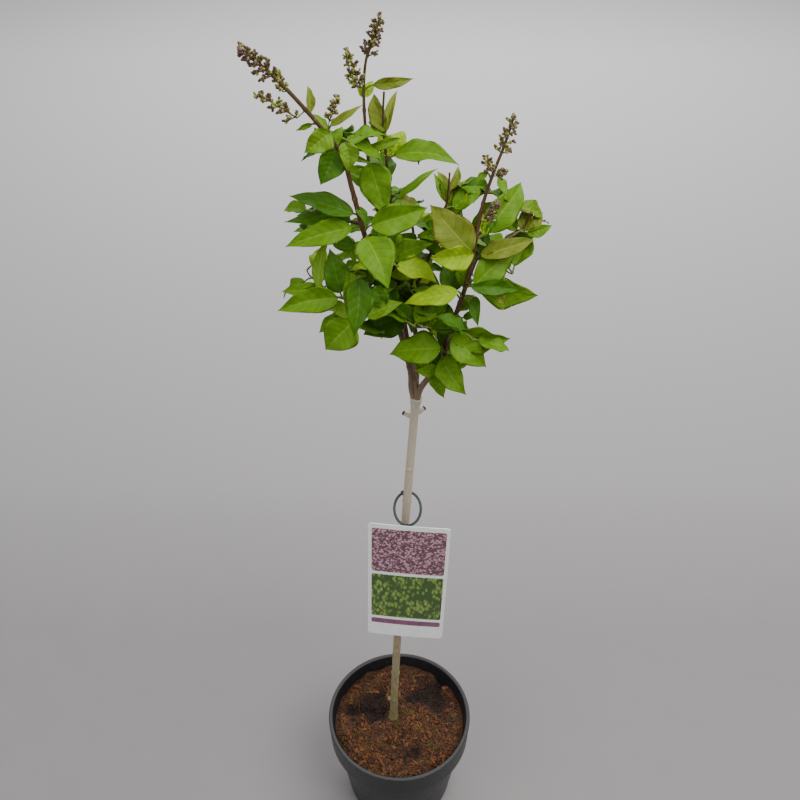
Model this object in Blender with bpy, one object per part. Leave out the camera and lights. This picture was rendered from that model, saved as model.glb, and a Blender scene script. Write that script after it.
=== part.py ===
"""A potted dwarf lilac grafted on a clear stem, modelled in metres with +Z up.

The origin is the centre of the pot's flat underside, and the label faces -Y. A bare
stem stands in the pot and forks into boughs. Each spray of leaves and each flower
head is one closed, uneven solid.
"""

import math

import bmesh
import bpy
import numpy as np
from mathutils import Matrix, Vector

# A touching pair of pieces keeps this gap.
GAP = 0.0004

# Pot: a thin moulded wall, and a collar that turns down from the rim, open below.
POT_HEIGHT = 0.155
POT_RIM_R = 0.0950
POT_MOUTH_R = 0.0898
POT_BASE_R = 0.0720
POT_WALL = 0.0014
POT_FLOOR = 0.0025
COLLAR_DEPTH = 0.037
COLLAR_FOOT_R = 0.0935
BODY_TOP_R = 0.0865
POT_CHAMFER = 0.0020
POT_SEGMENTS = 36
DRAIN_HOLES = 8
DRAIN_HOLE_R = 0.0045
DRAIN_CIRCLE_R = 0.0560

# Potting soil: its level at the stem, and how far it rises and falls elsewhere.
SOIL_LEVEL = 0.1360
SOIL_FLAT_R = 0.0100
SOIL_SWELL = 0.0035
SOIL_DIPS = (
    # centre x, centre y, radius, depth
    (-0.040, 0.030, 0.034, 0.009),
    (0.042, 0.046, 0.032, 0.012),
)
SOIL_RINGS = 6

# Stem: from the soil to the fork, a little bowed, with a flare at its foot.
STEM_FOOT = (-0.0080, 0.0070)
FORK = (0.0165, 0.0100, 0.6900)
STEM_BOW = -0.0025
STEM_FOOT_R = 0.0050
STEM_TOP_R = 0.0042
FLARE = 0.0022
FLARE_HEIGHT = 0.012
KNUCKLE_R = 0.0066
KNUCKLE_HEIGHT = 0.016
STEM_SIDES = 10
STEM_RINGS = 18
SPURS = (
    # height, turn about the stem in degrees from +X, length, radius
    (0.176, 190, 0.0075, 0.0026),
    (0.548, 115, 0.0085, 0.0020),
    (0.664, 175, 0.0085, 0.0024),
    (0.668, 20, 0.0080, 0.0024),
)

# Limbs: the bow is how far the middle is drawn aside, and all points are x, y, z.
LIMB_SIDES = 6
LIMB_RINGS = 7
FORK_CIRCLE_R = 0.0040
BOUGH_FOOT_R = 0.0026
BOUGHS = {
    # turn about the fork in degrees from +X, head, bow, head radius
    "bough_left": (180, (-0.0005, 0.0020, 0.7700), (0.002, 0.001, 0), 0.0023),
    "bough_front": (270, (0.0100, 0.0020, 0.7620), (0.001, -0.001, 0), 0.0022),
    "bough_right": (0, (0.0605, -0.0300, 0.8780), (0.0045, -0.003, -0.003), 0.0021),
    "bough_back": (90, (0.0130, 0.0380, 0.7560), (0.001, 0.004, -0.003), 0.0022),
}
SHOOTS = {
    # foot, head, bow, foot radius, head radius
    "shoot_left": ((-0.0295, -0.0200, 0.8800), (-0.0380, -0.0295, 0.9330), (0, 0, 0), 0.0022, 0.0021),
    "shoot_middle": ((-0.0245, 0.0220, 0.9260), (-0.0262, 0.0218, 0.9960), (-0.001, 0, 0), 0.0018, 0.0015),
    "flower_shoot_left": ((-0.0550, -0.0500, 0.9810), (-0.0835, -0.0805, 1.0275), (0, 0, 0.001), 0.0023, 0.0020),
    "flower_shoot_right": ((0.0640, -0.0305, 0.9000), (0.0738, -0.0292, 0.9440), (-0.001, 0, 0), 0.0018, 0.0014),
}

# Flower heads in bud: foot, tip, widest radius, and where along it that is.
HEAD_SIDES = 8
HEAD_RINGS = 8
FLOWER_HEADS = {
    "flower_head_left": ((-0.0838, -0.0808, 1.0280), (-0.0985, -0.0975, 1.0510), 0.0088, 0.60),
    "flower_head_left_side": ((-0.0665, -0.0590, 0.9885), (-0.0940, -0.0840, 1.0190), 0.0070, 0.60),
    "flower_head_middle": ((-0.0262, 0.0217, 0.9970), (-0.0140, 0.0170, 1.0400), 0.0085, 0.60),
    "flower_head_middle_side": ((-0.0310, 0.0160, 0.9850), (-0.0400, 0.0100, 1.0180), 0.0070, 0.55),
    "flower_head_right": ((0.0740, -0.0291, 0.9450), (0.0850, -0.0250, 0.9810), 0.0080, 0.40),
}

# Foliage: centre, half-widths in x, y and z, and the leaf tips that stand out of it.
SPRAY_DETAIL = 3
RIPPLE = 0.09
TIP_WIDTH = 0.34
FOLIAGE = {
    "foliage_top_left": (
        (-0.045, -0.030, 0.957), (0.023, 0.025, 0.024),
        ((-0.062, -0.040, 1.007), (-0.028, -0.020, 0.988), (-0.049, -0.030, 0.999), (-0.066, -0.036, 0.960)),
    ),
    "foliage_top_middle": (
        (0.007, 0.005, 0.940), (0.024, 0.026, 0.015),
        ((0.048, 0.000, 0.943), (-0.003, 0.000, 0.990), (-0.014, 0.006, 0.978), (0.026, 0.036, 0.944)),
    ),
    "foliage_high_leaves": (
        (-0.007, 0.020, 0.991), (0.013, 0.007, 0.0035),
        ((0.011, 0.018, 0.994),),
    ),
    "foliage_middle_left": (
        (-0.060, -0.020, 0.899), (0.026, 0.026, 0.020),
        ((-0.085, -0.015, 0.918), (-0.091, -0.030, 0.879), (-0.060, 0.012, 0.918)),
    ),
    "foliage_low_left": (
        (-0.074, 0.002, 0.820), (0.026, 0.027, 0.017),
        ((-0.107, 0.000, 0.800), (-0.068, 0.000, 0.859), (-0.086, 0.038, 0.816)),
    ),
    "foliage_upper_middle": (
        (-0.006, 0.000, 0.906), (0.029, 0.028, 0.026),
        ((-0.037, 0.004, 0.925), (0.022, -0.010, 0.900), (0.010, 0.034, 0.905)),
    ),
    "foliage_centre": (
        (-0.010, -0.024, 0.857), (0.031, 0.026, 0.027),
        ((-0.010, -0.058, 0.835), (0.020, -0.040, 0.850)),
    ),
    "foliage_front_left": (
        (-0.034, -0.036, 0.812), (0.031, 0.027, 0.029),
        ((-0.052, -0.047, 0.779), (-0.023, -0.064, 0.800), (-0.067, -0.022, 0.789)),
    ),
    "foliage_front_middle": (
        (0.014, -0.042, 0.808), (0.024, 0.024, 0.030),
        ((-0.009, -0.054, 0.775), (0.035, -0.052, 0.777), (0.006, -0.070, 0.800)),
    ),
    "foliage_tuft": (
        (0.041, -0.034, 0.744), (0.021, 0.015, 0.015),
        ((0.040, -0.036, 0.724), (0.063, -0.040, 0.736), (0.016, -0.030, 0.751)),
    ),
    "foliage_low_right": (
        (0.067, -0.055, 0.799), (0.023, 0.021, 0.014),
        ((0.094, -0.060, 0.805), (0.075, -0.067, 0.784), (0.040, -0.060, 0.808)),
    ),
    "foliage_middle_right": (
        (0.090, -0.012, 0.842), (0.025, 0.026, 0.021),
        ((0.121, -0.020, 0.828), (0.114, 0.004, 0.846), (0.091, -0.022, 0.817), (0.088, 0.030, 0.838)),
    ),
    "foliage_upper_right": (
        (0.042, -0.010, 0.872), (0.022, 0.024, 0.021),
        ((0.027, -0.034, 0.862), (0.044, 0.028, 0.884)),
    ),
    "foliage_upper_shoot": (
        (0.047, 0.012, 0.904), (0.015, 0.015, 0.013),
        ((0.028, 0.012, 0.921), (0.048, 0.012, 0.927), (0.067, 0.010, 0.907)),
    ),
    "foliage_top_right": (
        (0.085, -0.010, 0.907), (0.018, 0.017, 0.018),
        ((0.102, 0.000, 0.921), (0.101, -0.010, 0.894), (0.082, 0.016, 0.918)),
    ),
    "foliage_far_right": (
        (0.106, 0.005, 0.874), (0.016, 0.013, 0.011),
        ((0.129, 0.000, 0.877), (0.104, 0.010, 0.897), (0.122, 0.012, 0.894), (0.086, -0.004, 0.861)),
    ),
    "foliage_heart": (
        (0.010, 0.012, 0.806), (0.030, 0.026, 0.034),
        ((0.014, 0.008, 0.758),),
    ),
    "foliage_back_left": (
        (-0.044, 0.056, 0.830), (0.030, 0.028, 0.027),
        ((-0.084, 0.066, 0.818), (-0.046, 0.098, 0.824), (-0.058, 0.062, 0.866)),
    ),
    "foliage_back_right": (
        (0.058, 0.054, 0.826), (0.030, 0.028, 0.027),
        ((0.098, 0.066, 0.816), (0.052, 0.098, 0.818), (0.070, 0.058, 0.864)),
    ),
    "foliage_back_middle": (
        (0.006, 0.064, 0.853), (0.026, 0.024, 0.027),
        ((0.004, 0.102, 0.852), (-0.006, 0.066, 0.892)),
    ),
    "foliage_back_low": (
        (0.010, 0.058, 0.784), (0.028, 0.025, 0.021),
        ((0.010, 0.094, 0.768), (-0.030, 0.062, 0.774), (0.046, 0.066, 0.776)),
    ),
}

# Label: a stiff card hung from a spur by a thin loop round the stem.
CARD_SIZE = (0.089, 0.190, 0.0008)
CARD_CENTRE = (0.0090, -0.0145, 0.4410)
CARD_CORNER_R = 0.0045
CARD_CORNER_STEPS = 4
CARD_TURN = -5.0
CARD_ROLL = -1.3
LOOP_R = 0.0142
LOOP_WIRE_R = 0.0009
LOOP_BACK = (0.0158, 0.5560)
LOOP_FRONT = (-0.0125, 0.5340)
LOOP_POINTS = 20

COLOURS = {
    # red, green, blue, roughness
    "pot_plastic": (0.045, 0.046, 0.048, 0.55),
    "soil": (0.105, 0.045, 0.020, 0.95),
    "bark": (0.340, 0.300, 0.210, 0.80),
    "shoot_bark": (0.200, 0.090, 0.055, 0.70),
    "leaf": (0.110, 0.260, 0.035, 0.50),
    "young_leaf": (0.200, 0.190, 0.040, 0.50),
    "bud": (0.130, 0.060, 0.070, 0.70),
    "card": (0.780, 0.770, 0.760, 0.45),
    "tie": (0.030, 0.075, 0.050, 0.50),
}


def clear_scene():
    for obj in list(bpy.data.objects):
        bpy.data.objects.remove(obj, do_unlink=True)


def material(name):
    found = bpy.data.materials.get(name)
    if found:
        return found
    made = bpy.data.materials.new(name)
    made.use_nodes = True
    shader = made.node_tree.nodes["Principled BSDF"]
    red, green, blue, roughness = COLOURS[name]
    shader.inputs["Base Color"].default_value = (red, green, blue, 1)
    shader.inputs["Roughness"].default_value = roughness
    shader.inputs["Metallic"].default_value = 0
    return made


def to_object(name, shape, finish):
    """Puts a bmesh into the scene as one object with its faces pointing out."""
    bmesh.ops.recalc_face_normals(shape, faces=shape.faces)
    mesh = bpy.data.meshes.new(name)
    shape.to_mesh(mesh)
    shape.free()
    mesh.materials.append(material(finish))
    mesh.shade_smooth()
    mesh.set_sharp_from_angle(angle=math.radians(40))
    obj = bpy.data.objects.new(name, mesh)
    bpy.context.scene.collection.objects.link(obj)
    return obj


def boolean(obj, helper, operation):
    helper.hide_render = True
    helper.display_type = "WIRE"
    change = obj.modifiers.new(helper.name, "BOOLEAN")
    change.operation = operation
    change.solver = "EXACT"
    change.object = helper


def bowed_path(foot, head, bow, rings):
    """Points from foot to head along a parabola whose middle is drawn aside by bow."""
    t = np.linspace(0, 1, rings)[:, None]
    foot, head, bow = (np.array(v, float) for v in (foot, head, bow))
    return foot + (head - foot) * t + 4 * bow * t * (1 - t)


def tube(points, radii, sides, level_ends=(False, False), pointed=False):
    """A bmesh swept along points: one ring of vertices at each, square to the path unless levelled.

    radii gives one radius for each ring, or one for each vertex of each ring.
    """
    points = np.asarray(points, float)
    radii = np.broadcast_to(np.asarray(radii, float).reshape(len(points), -1), (len(points), sides))
    tangents = np.gradient(points, axis=0)
    tangents /= np.linalg.norm(tangents, axis=1)[:, None]
    shape = bmesh.new()
    side = Vector((1, 0, 0))
    rings = []
    for index, (point, tangent) in enumerate(zip(points, tangents)):
        level = (index == 0 and level_ends[0]) or (index == len(points) - 1 and level_ends[1])
        axis = Vector((0, 0, 1)) if level else Vector(tangent)
        side = (side - axis * side.dot(axis)).normalized()
        other = axis.cross(side)
        ring = []
        for step in range(sides):
            angle = 2 * math.pi * step / sides
            away = side * math.cos(angle) + other * math.sin(angle)
            ring.append(shape.verts.new(Vector(point) + away * radii[index][step]))
        rings.append(ring)
    for low, high in zip(rings, rings[1:]):
        for step in range(sides):
            after = (step + 1) % sides
            shape.faces.new((low[step], low[after], high[after], high[step]))
    shape.faces.new(rings[0][::-1])
    if pointed:
        bmesh.ops.pointmerge(shape, verts=rings[-1], merge_co=Vector(points[-1]))
    else:
        shape.faces.new(rings[-1])
    return shape


def turned(profile, segments):
    """A bmesh spun about Z from a profile of (radius, height) pairs that starts and ends on the axis."""
    shape = bmesh.new()
    verts = [shape.verts.new((radius, 0, height)) for radius, height in profile]
    edges = [shape.edges.new(pair) for pair in zip(verts, verts[1:])]
    bmesh.ops.spin(
        shape, geom=verts + edges, cent=(0, 0, 0), axis=(0, 0, 1), angle=2 * math.pi, steps=segments
    )
    bmesh.ops.remove_doubles(shape, verts=shape.verts, dist=0.00001)
    return shape


def inner_wall_r(height):
    """The radius of the pot's inner face at a height."""
    collar_z = POT_HEIGHT - COLLAR_DEPTH
    return float(
        np.interp(
            height,
            (POT_FLOOR, collar_z, POT_HEIGHT),
            (POT_BASE_R - POT_WALL, BODY_TOP_R - POT_WALL, POT_MOUTH_R),
        )
    )


def make_pot():
    collar_z = POT_HEIGHT - COLLAR_DEPTH
    under_rim = POT_HEIGHT - POT_WALL
    pot = to_object(
        "pot",
        turned(
            (
                (0, 0),
                (POT_BASE_R - POT_CHAMFER, 0),
                (POT_BASE_R, POT_CHAMFER),
                (BODY_TOP_R, collar_z),
                (POT_MOUTH_R + POT_WALL, under_rim),
                (POT_RIM_R - POT_WALL, under_rim),
                (COLLAR_FOOT_R - POT_WALL, collar_z),
                (COLLAR_FOOT_R, collar_z),
                (POT_RIM_R, POT_HEIGHT - POT_WALL / 2),
                (POT_RIM_R - POT_WALL / 2, POT_HEIGHT),
                (POT_MOUTH_R, POT_HEIGHT),
                (inner_wall_r(collar_z), collar_z),
                (inner_wall_r(POT_FLOOR), POT_FLOOR),
                (0, POT_FLOOR),
            ),
            POT_SEGMENTS,
        ),
        "pot_plastic",
    )
    for index in range(DRAIN_HOLES):
        angle = 2 * math.pi * (index + 0.5) / DRAIN_HOLES
        cutter = bmesh.new()
        bmesh.ops.create_cone(
            cutter,
            cap_ends=True,
            segments=10,
            radius1=DRAIN_HOLE_R,
            radius2=DRAIN_HOLE_R,
            depth=4 * POT_FLOOR,
            matrix=Matrix.Translation(
                (DRAIN_CIRCLE_R * math.cos(angle), DRAIN_CIRCLE_R * math.sin(angle), 0)
            ),
        )
        boolean(pot, to_object(f"drain_hole_{index}", cutter, "pot_plastic"), "DIFFERENCE")


def soil_height(x, y):
    """The soil's level: slow swells and two hollows, flat where the stem stands."""
    swell = SOIL_SWELL * (math.sin(62 * x + 1.1) * math.cos(71 * y - 0.4) - 0.25)
    for centre_x, centre_y, radius, depth in SOIL_DIPS:
        swell -= depth * math.exp(-((x - centre_x) ** 2 + (y - centre_y) ** 2) / radius**2)
    away = math.hypot(x - STEM_FOOT[0], y - STEM_FOOT[1]) / SOIL_FLAT_R
    return SOIL_LEVEL + swell * min(1, max(0, away - 1)) - GAP


def make_soil():
    """One wavy top disc joined to a tapered side and a flat base, clear of the pot all round."""
    shape = bmesh.new()
    # The rings are centred on the stem's foot inside and on the pot at the edge.
    rings = []
    for ring in range(1, SOIL_RINGS + 1):
        share = ring / SOIL_RINGS
        row = []
        for step in range(POT_SEGMENTS):
            angle = 2 * math.pi * step / POT_SEGMENTS
            edge = inner_wall_r(SOIL_LEVEL - 0.014) - 2 * GAP
            radius = SOIL_FLAT_R + (edge - SOIL_FLAT_R) * (share - 1 / SOIL_RINGS) / (1 - 1 / SOIL_RINGS)
            pull = 1 - (radius - SOIL_FLAT_R) / (edge - SOIL_FLAT_R)
            x = radius * math.cos(angle) + STEM_FOOT[0] * pull
            y = radius * math.sin(angle) + STEM_FOOT[1] * pull
            row.append(shape.verts.new((x, y, soil_height(x, y))))
        rings.append(row)
    base_z = POT_FLOOR + GAP
    base_r = inner_wall_r(base_z) - 2 * GAP
    foot = []
    for step in range(POT_SEGMENTS):
        angle = 2 * math.pi * step / POT_SEGMENTS
        foot.append(shape.verts.new((base_r * math.cos(angle), base_r * math.sin(angle), base_z)))
    rings.append(foot)
    for inner, outer in zip(rings, rings[1:]):
        for step in range(POT_SEGMENTS):
            after = (step + 1) % POT_SEGMENTS
            shape.faces.new((inner[step], outer[step], outer[after], inner[after]))
    shape.faces.new(rings[0])
    shape.faces.new(foot[::-1])
    to_object("potting_soil", shape, "soil")


def stem_point(height):
    """The stem's centre at a height."""
    t = (height - SOIL_LEVEL) / (FORK[2] - SOIL_LEVEL)
    bow = 4 * STEM_BOW * t * (1 - t)
    x = STEM_FOOT[0] + (FORK[0] - STEM_FOOT[0]) * t + bow
    y = STEM_FOOT[1] + (FORK[1] - STEM_FOOT[1]) * t
    return Vector((x, y, height))


def stem_radius(height):
    """An even taper, with a flare that dies away above the soil and a knuckle under the fork."""
    t = (height - SOIL_LEVEL) / (FORK[2] - SOIL_LEVEL)
    flare = FLARE * math.exp(-(height - SOIL_LEVEL) / FLARE_HEIGHT)
    knuckle = (KNUCKLE_R - STEM_TOP_R) * max(0, 1 - (FORK[2] - height) / KNUCKLE_HEIGHT) ** 1.5
    return STEM_FOOT_R + (STEM_TOP_R - STEM_FOOT_R) * t + flare + knuckle


def make_stem():
    share = np.linspace(0, 1, STEM_RINGS)
    # Rings stand closer together near the flare and the knuckle.
    share = 0.5 - 0.5 * np.cos(math.pi * share)
    heights = SOIL_LEVEL + (FORK[2] - SOIL_LEVEL) * share
    points = [stem_point(height) for height in heights]
    radii = [stem_radius(height) for height in heights]
    stem = to_object("stem", tube(points, radii, STEM_SIDES, level_ends=(True, True)), "bark")
    for index, (height, turn, length, radius) in enumerate(SPURS):
        out = Vector((math.cos(math.radians(turn)), math.sin(math.radians(turn)), 0.55)).normalized()
        root = stem_point(height)
        path = [root + out * (length * step / 3) for step in range(4)]
        spur = tube(path, [radius * 1.15, radius * 1.1, radius, radius * 0.8], 8)
        boolean(stem, to_object(f"spur_{index}", spur, "bark"), "UNION")


def limb_paths():
    """Every bough and shoot as its path and its radii, foot first."""
    paths = {}
    share = np.linspace(0, 1, LIMB_RINGS)
    for name, (turn, head, bow, head_r) in BOUGHS.items():
        foot = (
            FORK[0] + FORK_CIRCLE_R * math.cos(math.radians(turn)),
            FORK[1] + FORK_CIRCLE_R * math.sin(math.radians(turn)),
            FORK[2] + GAP,
        )
        radii = BOUGH_FOOT_R + (head_r - BOUGH_FOOT_R) * share
        paths[name] = (bowed_path(foot, head, bow, LIMB_RINGS), radii)
    for name, (foot, head, bow, foot_r, head_r) in SHOOTS.items():
        paths[name] = (bowed_path(foot, head, bow, LIMB_RINGS), foot_r + (head_r - foot_r) * share)
    return paths


def make_limbs(paths):
    for name, (points, radii) in paths.items():
        finish = "bark" if name in BOUGHS else "shoot_bark"
        to_object(name, tube(points, radii, LIMB_SIDES, level_ends=(name in BOUGHS, False)), finish)


def flower_head_shape(foot, tip, widest, where):
    """A path and radii that swell from the stalk to the widest place and close at the tip, lumpy with buds."""
    points = bowed_path(foot, tip, (0, 0, 0.001), HEAD_RINGS)
    share = np.linspace(0, 1, HEAD_RINGS)
    swell = np.interp(share, (0, 0.15, where, 0.9, 1), (0.25, 0.5, 1, 0.6, 0.15)) * widest
    turn = np.arange(HEAD_SIDES) * 2 * math.pi / HEAD_SIDES
    lumps = 1 + 0.16 * np.sin(2 * turn[None] + 9 * share[:, None]) * np.cos(11 * share[:, None] + turn[None])
    return points, swell[:, None] * lumps


def make_flower_heads():
    for name, (foot, tip, widest, where) in FLOWER_HEADS.items():
        points, radii = flower_head_shape(foot, tip, widest, where)
        to_object(name, tube(points, radii, HEAD_SIDES, pointed=True), "bud")


def reach_towards(radii, direction):
    """The distance from an ellipsoid's centre to its surface in a direction."""
    return 1 / np.linalg.norm(np.asarray(direction) / np.asarray(radii))


def walls_round(name, paths):
    """Flat limits on one spray, each a unit normal and a distance from the spray's centre.

    One stands halfway to each neighbour, in proportion to their sizes. One stands in
    front of the nearest place on each limb and flower head.
    """
    centre, radii, _ = FOLIAGE[name]
    centre = np.array(centre)
    walls = []
    for other, (there, other_radii, _) in FOLIAGE.items():
        if other == name:
            continue
        apart = np.array(there) - centre
        distance = np.linalg.norm(apart)
        direction = apart / distance
        mine, theirs = reach_towards(radii, direction), reach_towards(other_radii, direction)
        walls.append((direction, distance * mine / (mine + theirs) - GAP))
    for points, thickness in paths:
        apart = points - centre
        distances = np.linalg.norm(apart, axis=1) - thickness
        # A limb that runs past on one side needs a wall for each stretch of it.
        for index in range(len(points)):
            if distances[index] > distances[max(index - 2, 0) : index + 3].min():
                continue
            direction = apart[index] / np.linalg.norm(apart[index])
            walls.append((direction, distances[index] - GAP))
    return walls


def fine_paths(paths):
    """Each path with its radii at ten times as many places, for measuring distances."""
    fine = []
    for points, radii in paths:
        radii = np.asarray(radii)
        thickness = radii.max(axis=1) if radii.ndim > 1 else radii
        old = np.arange(len(points))
        new = np.linspace(0, len(points) - 1, 10 * len(points))
        smooth = np.stack([np.interp(new, old, points[:, axis]) for axis in range(3)], axis=1)
        fine.append((smooth, np.interp(new, old, thickness)))
    return fine


def make_spray(name, walls):
    """A ball stretched to its half-widths, rippled, drawn out to its leaf tips and held behind its walls."""
    centre, radii, tips = FOLIAGE[name]
    centre = np.array(centre)
    shape = bmesh.new()
    bmesh.ops.create_icosphere(shape, subdivisions=SPRAY_DETAIL, radius=1)
    way = np.array([vert.co[:] for vert in shape.verts])
    phase = 40 * centre
    ripple = (
        np.sin(3.1 * way[:, 0] + phase[0]) * np.cos(2.7 * way[:, 1] + phase[1])
        + np.sin(5.3 * way[:, 2] + phase[2]) * np.cos(4.9 * way[:, 0] - phase[1])
        + 0.6 * np.sin(8.1 * way[:, 1] + 7.7 * way[:, 2] + phase[0])
    )
    places = way * radii * (1 + RIPPLE * ripple)[:, None]
    for tip in tips:
        out = np.array(tip) - centre
        far = np.linalg.norm(out)
        near = np.linalg.norm(places, axis=1)
        angle = np.arccos(np.clip(places @ out / (near * far), -1, 1))
        drawn = np.maximum(near, far * np.exp(-((angle / TIP_WIDTH) ** 2)))
        places *= (drawn / near)[:, None]
        places[angle.argmin()] = out
    for direction, distance in walls:
        along = places @ direction
        over = along > distance
        places[over] *= (distance / along[over])[:, None]
    for vert, place in zip(shape.verts, places + centre):
        vert.co = place
    finish = "young_leaf" if name in ("foliage_upper_shoot", "foliage_far_right") else "leaf"
    to_object(name, shape, finish)


def make_foliage(paths):
    heads = [flower_head_shape(*values) for values in FLOWER_HEADS.values()]
    fine = fine_paths(list(paths.values()) + heads)
    for name in FOLIAGE:
        make_spray(name, walls_round(name, fine))


def make_card():
    """A rectangle with rounded corners, extruded to the card's thickness."""
    width, height, thickness = CARD_SIZE
    shape = bmesh.new()
    outline = []
    for corner, (sign_x, sign_z) in enumerate(((1, 1), (-1, 1), (-1, -1), (1, -1))):
        for step in range(CARD_CORNER_STEPS + 1):
            angle = math.pi / 2 * (corner + step / CARD_CORNER_STEPS)
            x = sign_x * (width / 2 - CARD_CORNER_R) + CARD_CORNER_R * math.cos(angle)
            z = sign_z * (height / 2 - CARD_CORNER_R) + CARD_CORNER_R * math.sin(angle)
            outline.append(shape.verts.new((x, thickness / 2, z)))
    face = shape.faces.new(outline)
    grown = bmesh.ops.extrude_face_region(shape, geom=[face])["geom"]
    moved = [part for part in grown if isinstance(part, bmesh.types.BMVert)]
    bmesh.ops.translate(shape, verts=moved, vec=(0, -thickness, 0))
    card = to_object("label_card", shape, "card")
    card.location = CARD_CENTRE
    card.rotation_euler = (0, math.radians(-CARD_ROLL), math.radians(CARD_TURN))


def make_loop():
    """A closed wire ring that leans down from behind the stem to the back of the card."""
    (back_y, back_z), (front_y, front_z) = LOOP_BACK, LOOP_FRONT
    middle = Vector((CARD_CENTRE[0], (back_y + front_y) / 2, (back_z + front_z) / 2))
    half = Vector((0, (back_y - front_y) / 2, (back_z - front_z) / 2))
    curve = bpy.data.curves.new("label_loop", "CURVE")
    curve.dimensions = "3D"
    curve.bevel_depth = LOOP_WIRE_R
    curve.bevel_resolution = 1
    spline = curve.splines.new("POLY")
    spline.points.add(LOOP_POINTS - 1)
    for index, point in enumerate(spline.points):
        angle = 2 * math.pi * index / LOOP_POINTS
        place = middle + Vector((LOOP_R * math.cos(angle), 0, 0)) + half * math.sin(angle)
        point.co = (*place, 1)
    spline.use_cyclic_u = True
    curve.materials.append(material("tie"))
    bpy.context.scene.collection.objects.link(bpy.data.objects.new("label_loop", curve))


clear_scene()
make_pot()
make_soil()
make_stem()
limbs = limb_paths()
make_limbs(limbs)
make_flower_heads()
make_foliage(limbs)
make_card()
make_loop()
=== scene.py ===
import math

import bpy
import numpy as np
from mathutils import Euler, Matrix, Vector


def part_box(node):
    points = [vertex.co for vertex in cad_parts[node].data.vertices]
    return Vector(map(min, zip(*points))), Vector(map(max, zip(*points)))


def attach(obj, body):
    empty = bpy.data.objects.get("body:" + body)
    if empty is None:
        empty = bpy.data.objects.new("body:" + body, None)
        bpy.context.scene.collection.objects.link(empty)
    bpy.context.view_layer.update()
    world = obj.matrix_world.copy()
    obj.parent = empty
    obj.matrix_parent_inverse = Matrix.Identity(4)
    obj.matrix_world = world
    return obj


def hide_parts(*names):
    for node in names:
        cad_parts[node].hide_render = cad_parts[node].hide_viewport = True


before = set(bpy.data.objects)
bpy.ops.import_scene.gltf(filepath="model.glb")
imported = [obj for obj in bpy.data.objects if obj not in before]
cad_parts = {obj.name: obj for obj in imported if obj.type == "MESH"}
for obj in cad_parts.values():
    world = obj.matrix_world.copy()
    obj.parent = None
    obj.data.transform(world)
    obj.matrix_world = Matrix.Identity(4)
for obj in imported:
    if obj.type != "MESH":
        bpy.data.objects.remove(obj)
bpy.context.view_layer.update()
rng = np.random.default_rng(4107)
mm = 0.001

# The photograph's camera: eye in metres, tilt below level, focal length and middle in pixels.
camera = dict(eye=(0.0009, -0.650, 1.210), tilt=math.radians(38.4), focal=862, middle=400, lens=38.79)
eye = np.array(camera["eye"])
ahead = np.array([0, math.cos(camera["tilt"]), -math.sin(camera["tilt"])])
aloft = np.array([0, math.sin(camera["tilt"]), math.cos(camera["tilt"])])


def unit(way):
    # way / |way|
    return way / np.linalg.norm(way, axis=-1, keepdims=True)


def atPixel(u, v, y):
    # the place at depth y on the ray of pixel (u, v): eye + Z*(ahead + right*a - aloft*b)
    a = (u - camera["middle"]) / camera["focal"]
    b = (v - camera["middle"]) / camera["focal"]
    reach = (y - eye[1]) / (ahead[1] - aloft[1] * b)
    return eye + reach * (ahead + np.array([a, 0, 0]) - aloft * b)


def toPixel(points):
    # the pixel of each place: middle + focal*(right, -aloft)/ahead
    away = points - eye
    reach = away @ ahead
    u = camera["middle"] + camera["focal"] * away[..., 0] / reach
    v = camera["middle"] - camera["focal"] * (away @ aloft) / reach
    return np.stack([u, v], -1)


def colour(code):
    # sRGB to linear: c/12.92 up to .04045, else ((c + .055)/1.055)^2.4
    parts = [int(code[k : k + 2], 16) / 255 for k in (0, 2, 4)]
    return tuple(c / 12.92 if c <= 0.04045 else ((c + 0.055) / 1.055) ** 2.4 for c in parts) + (1,)


def addNode(tree, kind, fields=None, sockets=None):
    # one shader node: fields are its settings, sockets take a constant or another node's output
    node = tree.nodes.new(kind)
    for field, value in (fields or {}).items():
        setattr(node, field, value)
    for socket, value in (sockets or {}).items():
        if isinstance(value, bpy.types.NodeSocket):
            tree.links.new(value, node.inputs[socket])
        else:
            node.inputs[socket].default_value = value
    return node


def newMaterial(name):
    material = bpy.data.materials.new(name)
    material.use_nodes = True
    return material, material.node_tree, material.node_tree.nodes["Principled BSDF"]


def between(tree, low, high, factor):
    # colour = low + (high - low)*factor
    sockets = {0: factor, 6: low, 7: high}
    return addNode(tree, "ShaderNodeMix", {"data_type": "RGBA"}, sockets).outputs[2]


def ranged(tree, value, start, end, low=0.0, high=1.0):
    # value from start..end brought to low..high, clamped
    sockets = {0: value, 1: start, 2: end, 3: low, 4: high}
    return addNode(tree, "ShaderNodeMapRange", {}, sockets).outputs[0]


def sums(tree, operation, first, second=0.0, third=0.0):
    node = addNode(tree, "ShaderNodeMath", {"operation": operation}, {0: first, 1: second, 2: third})
    return node.outputs[0]


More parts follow.
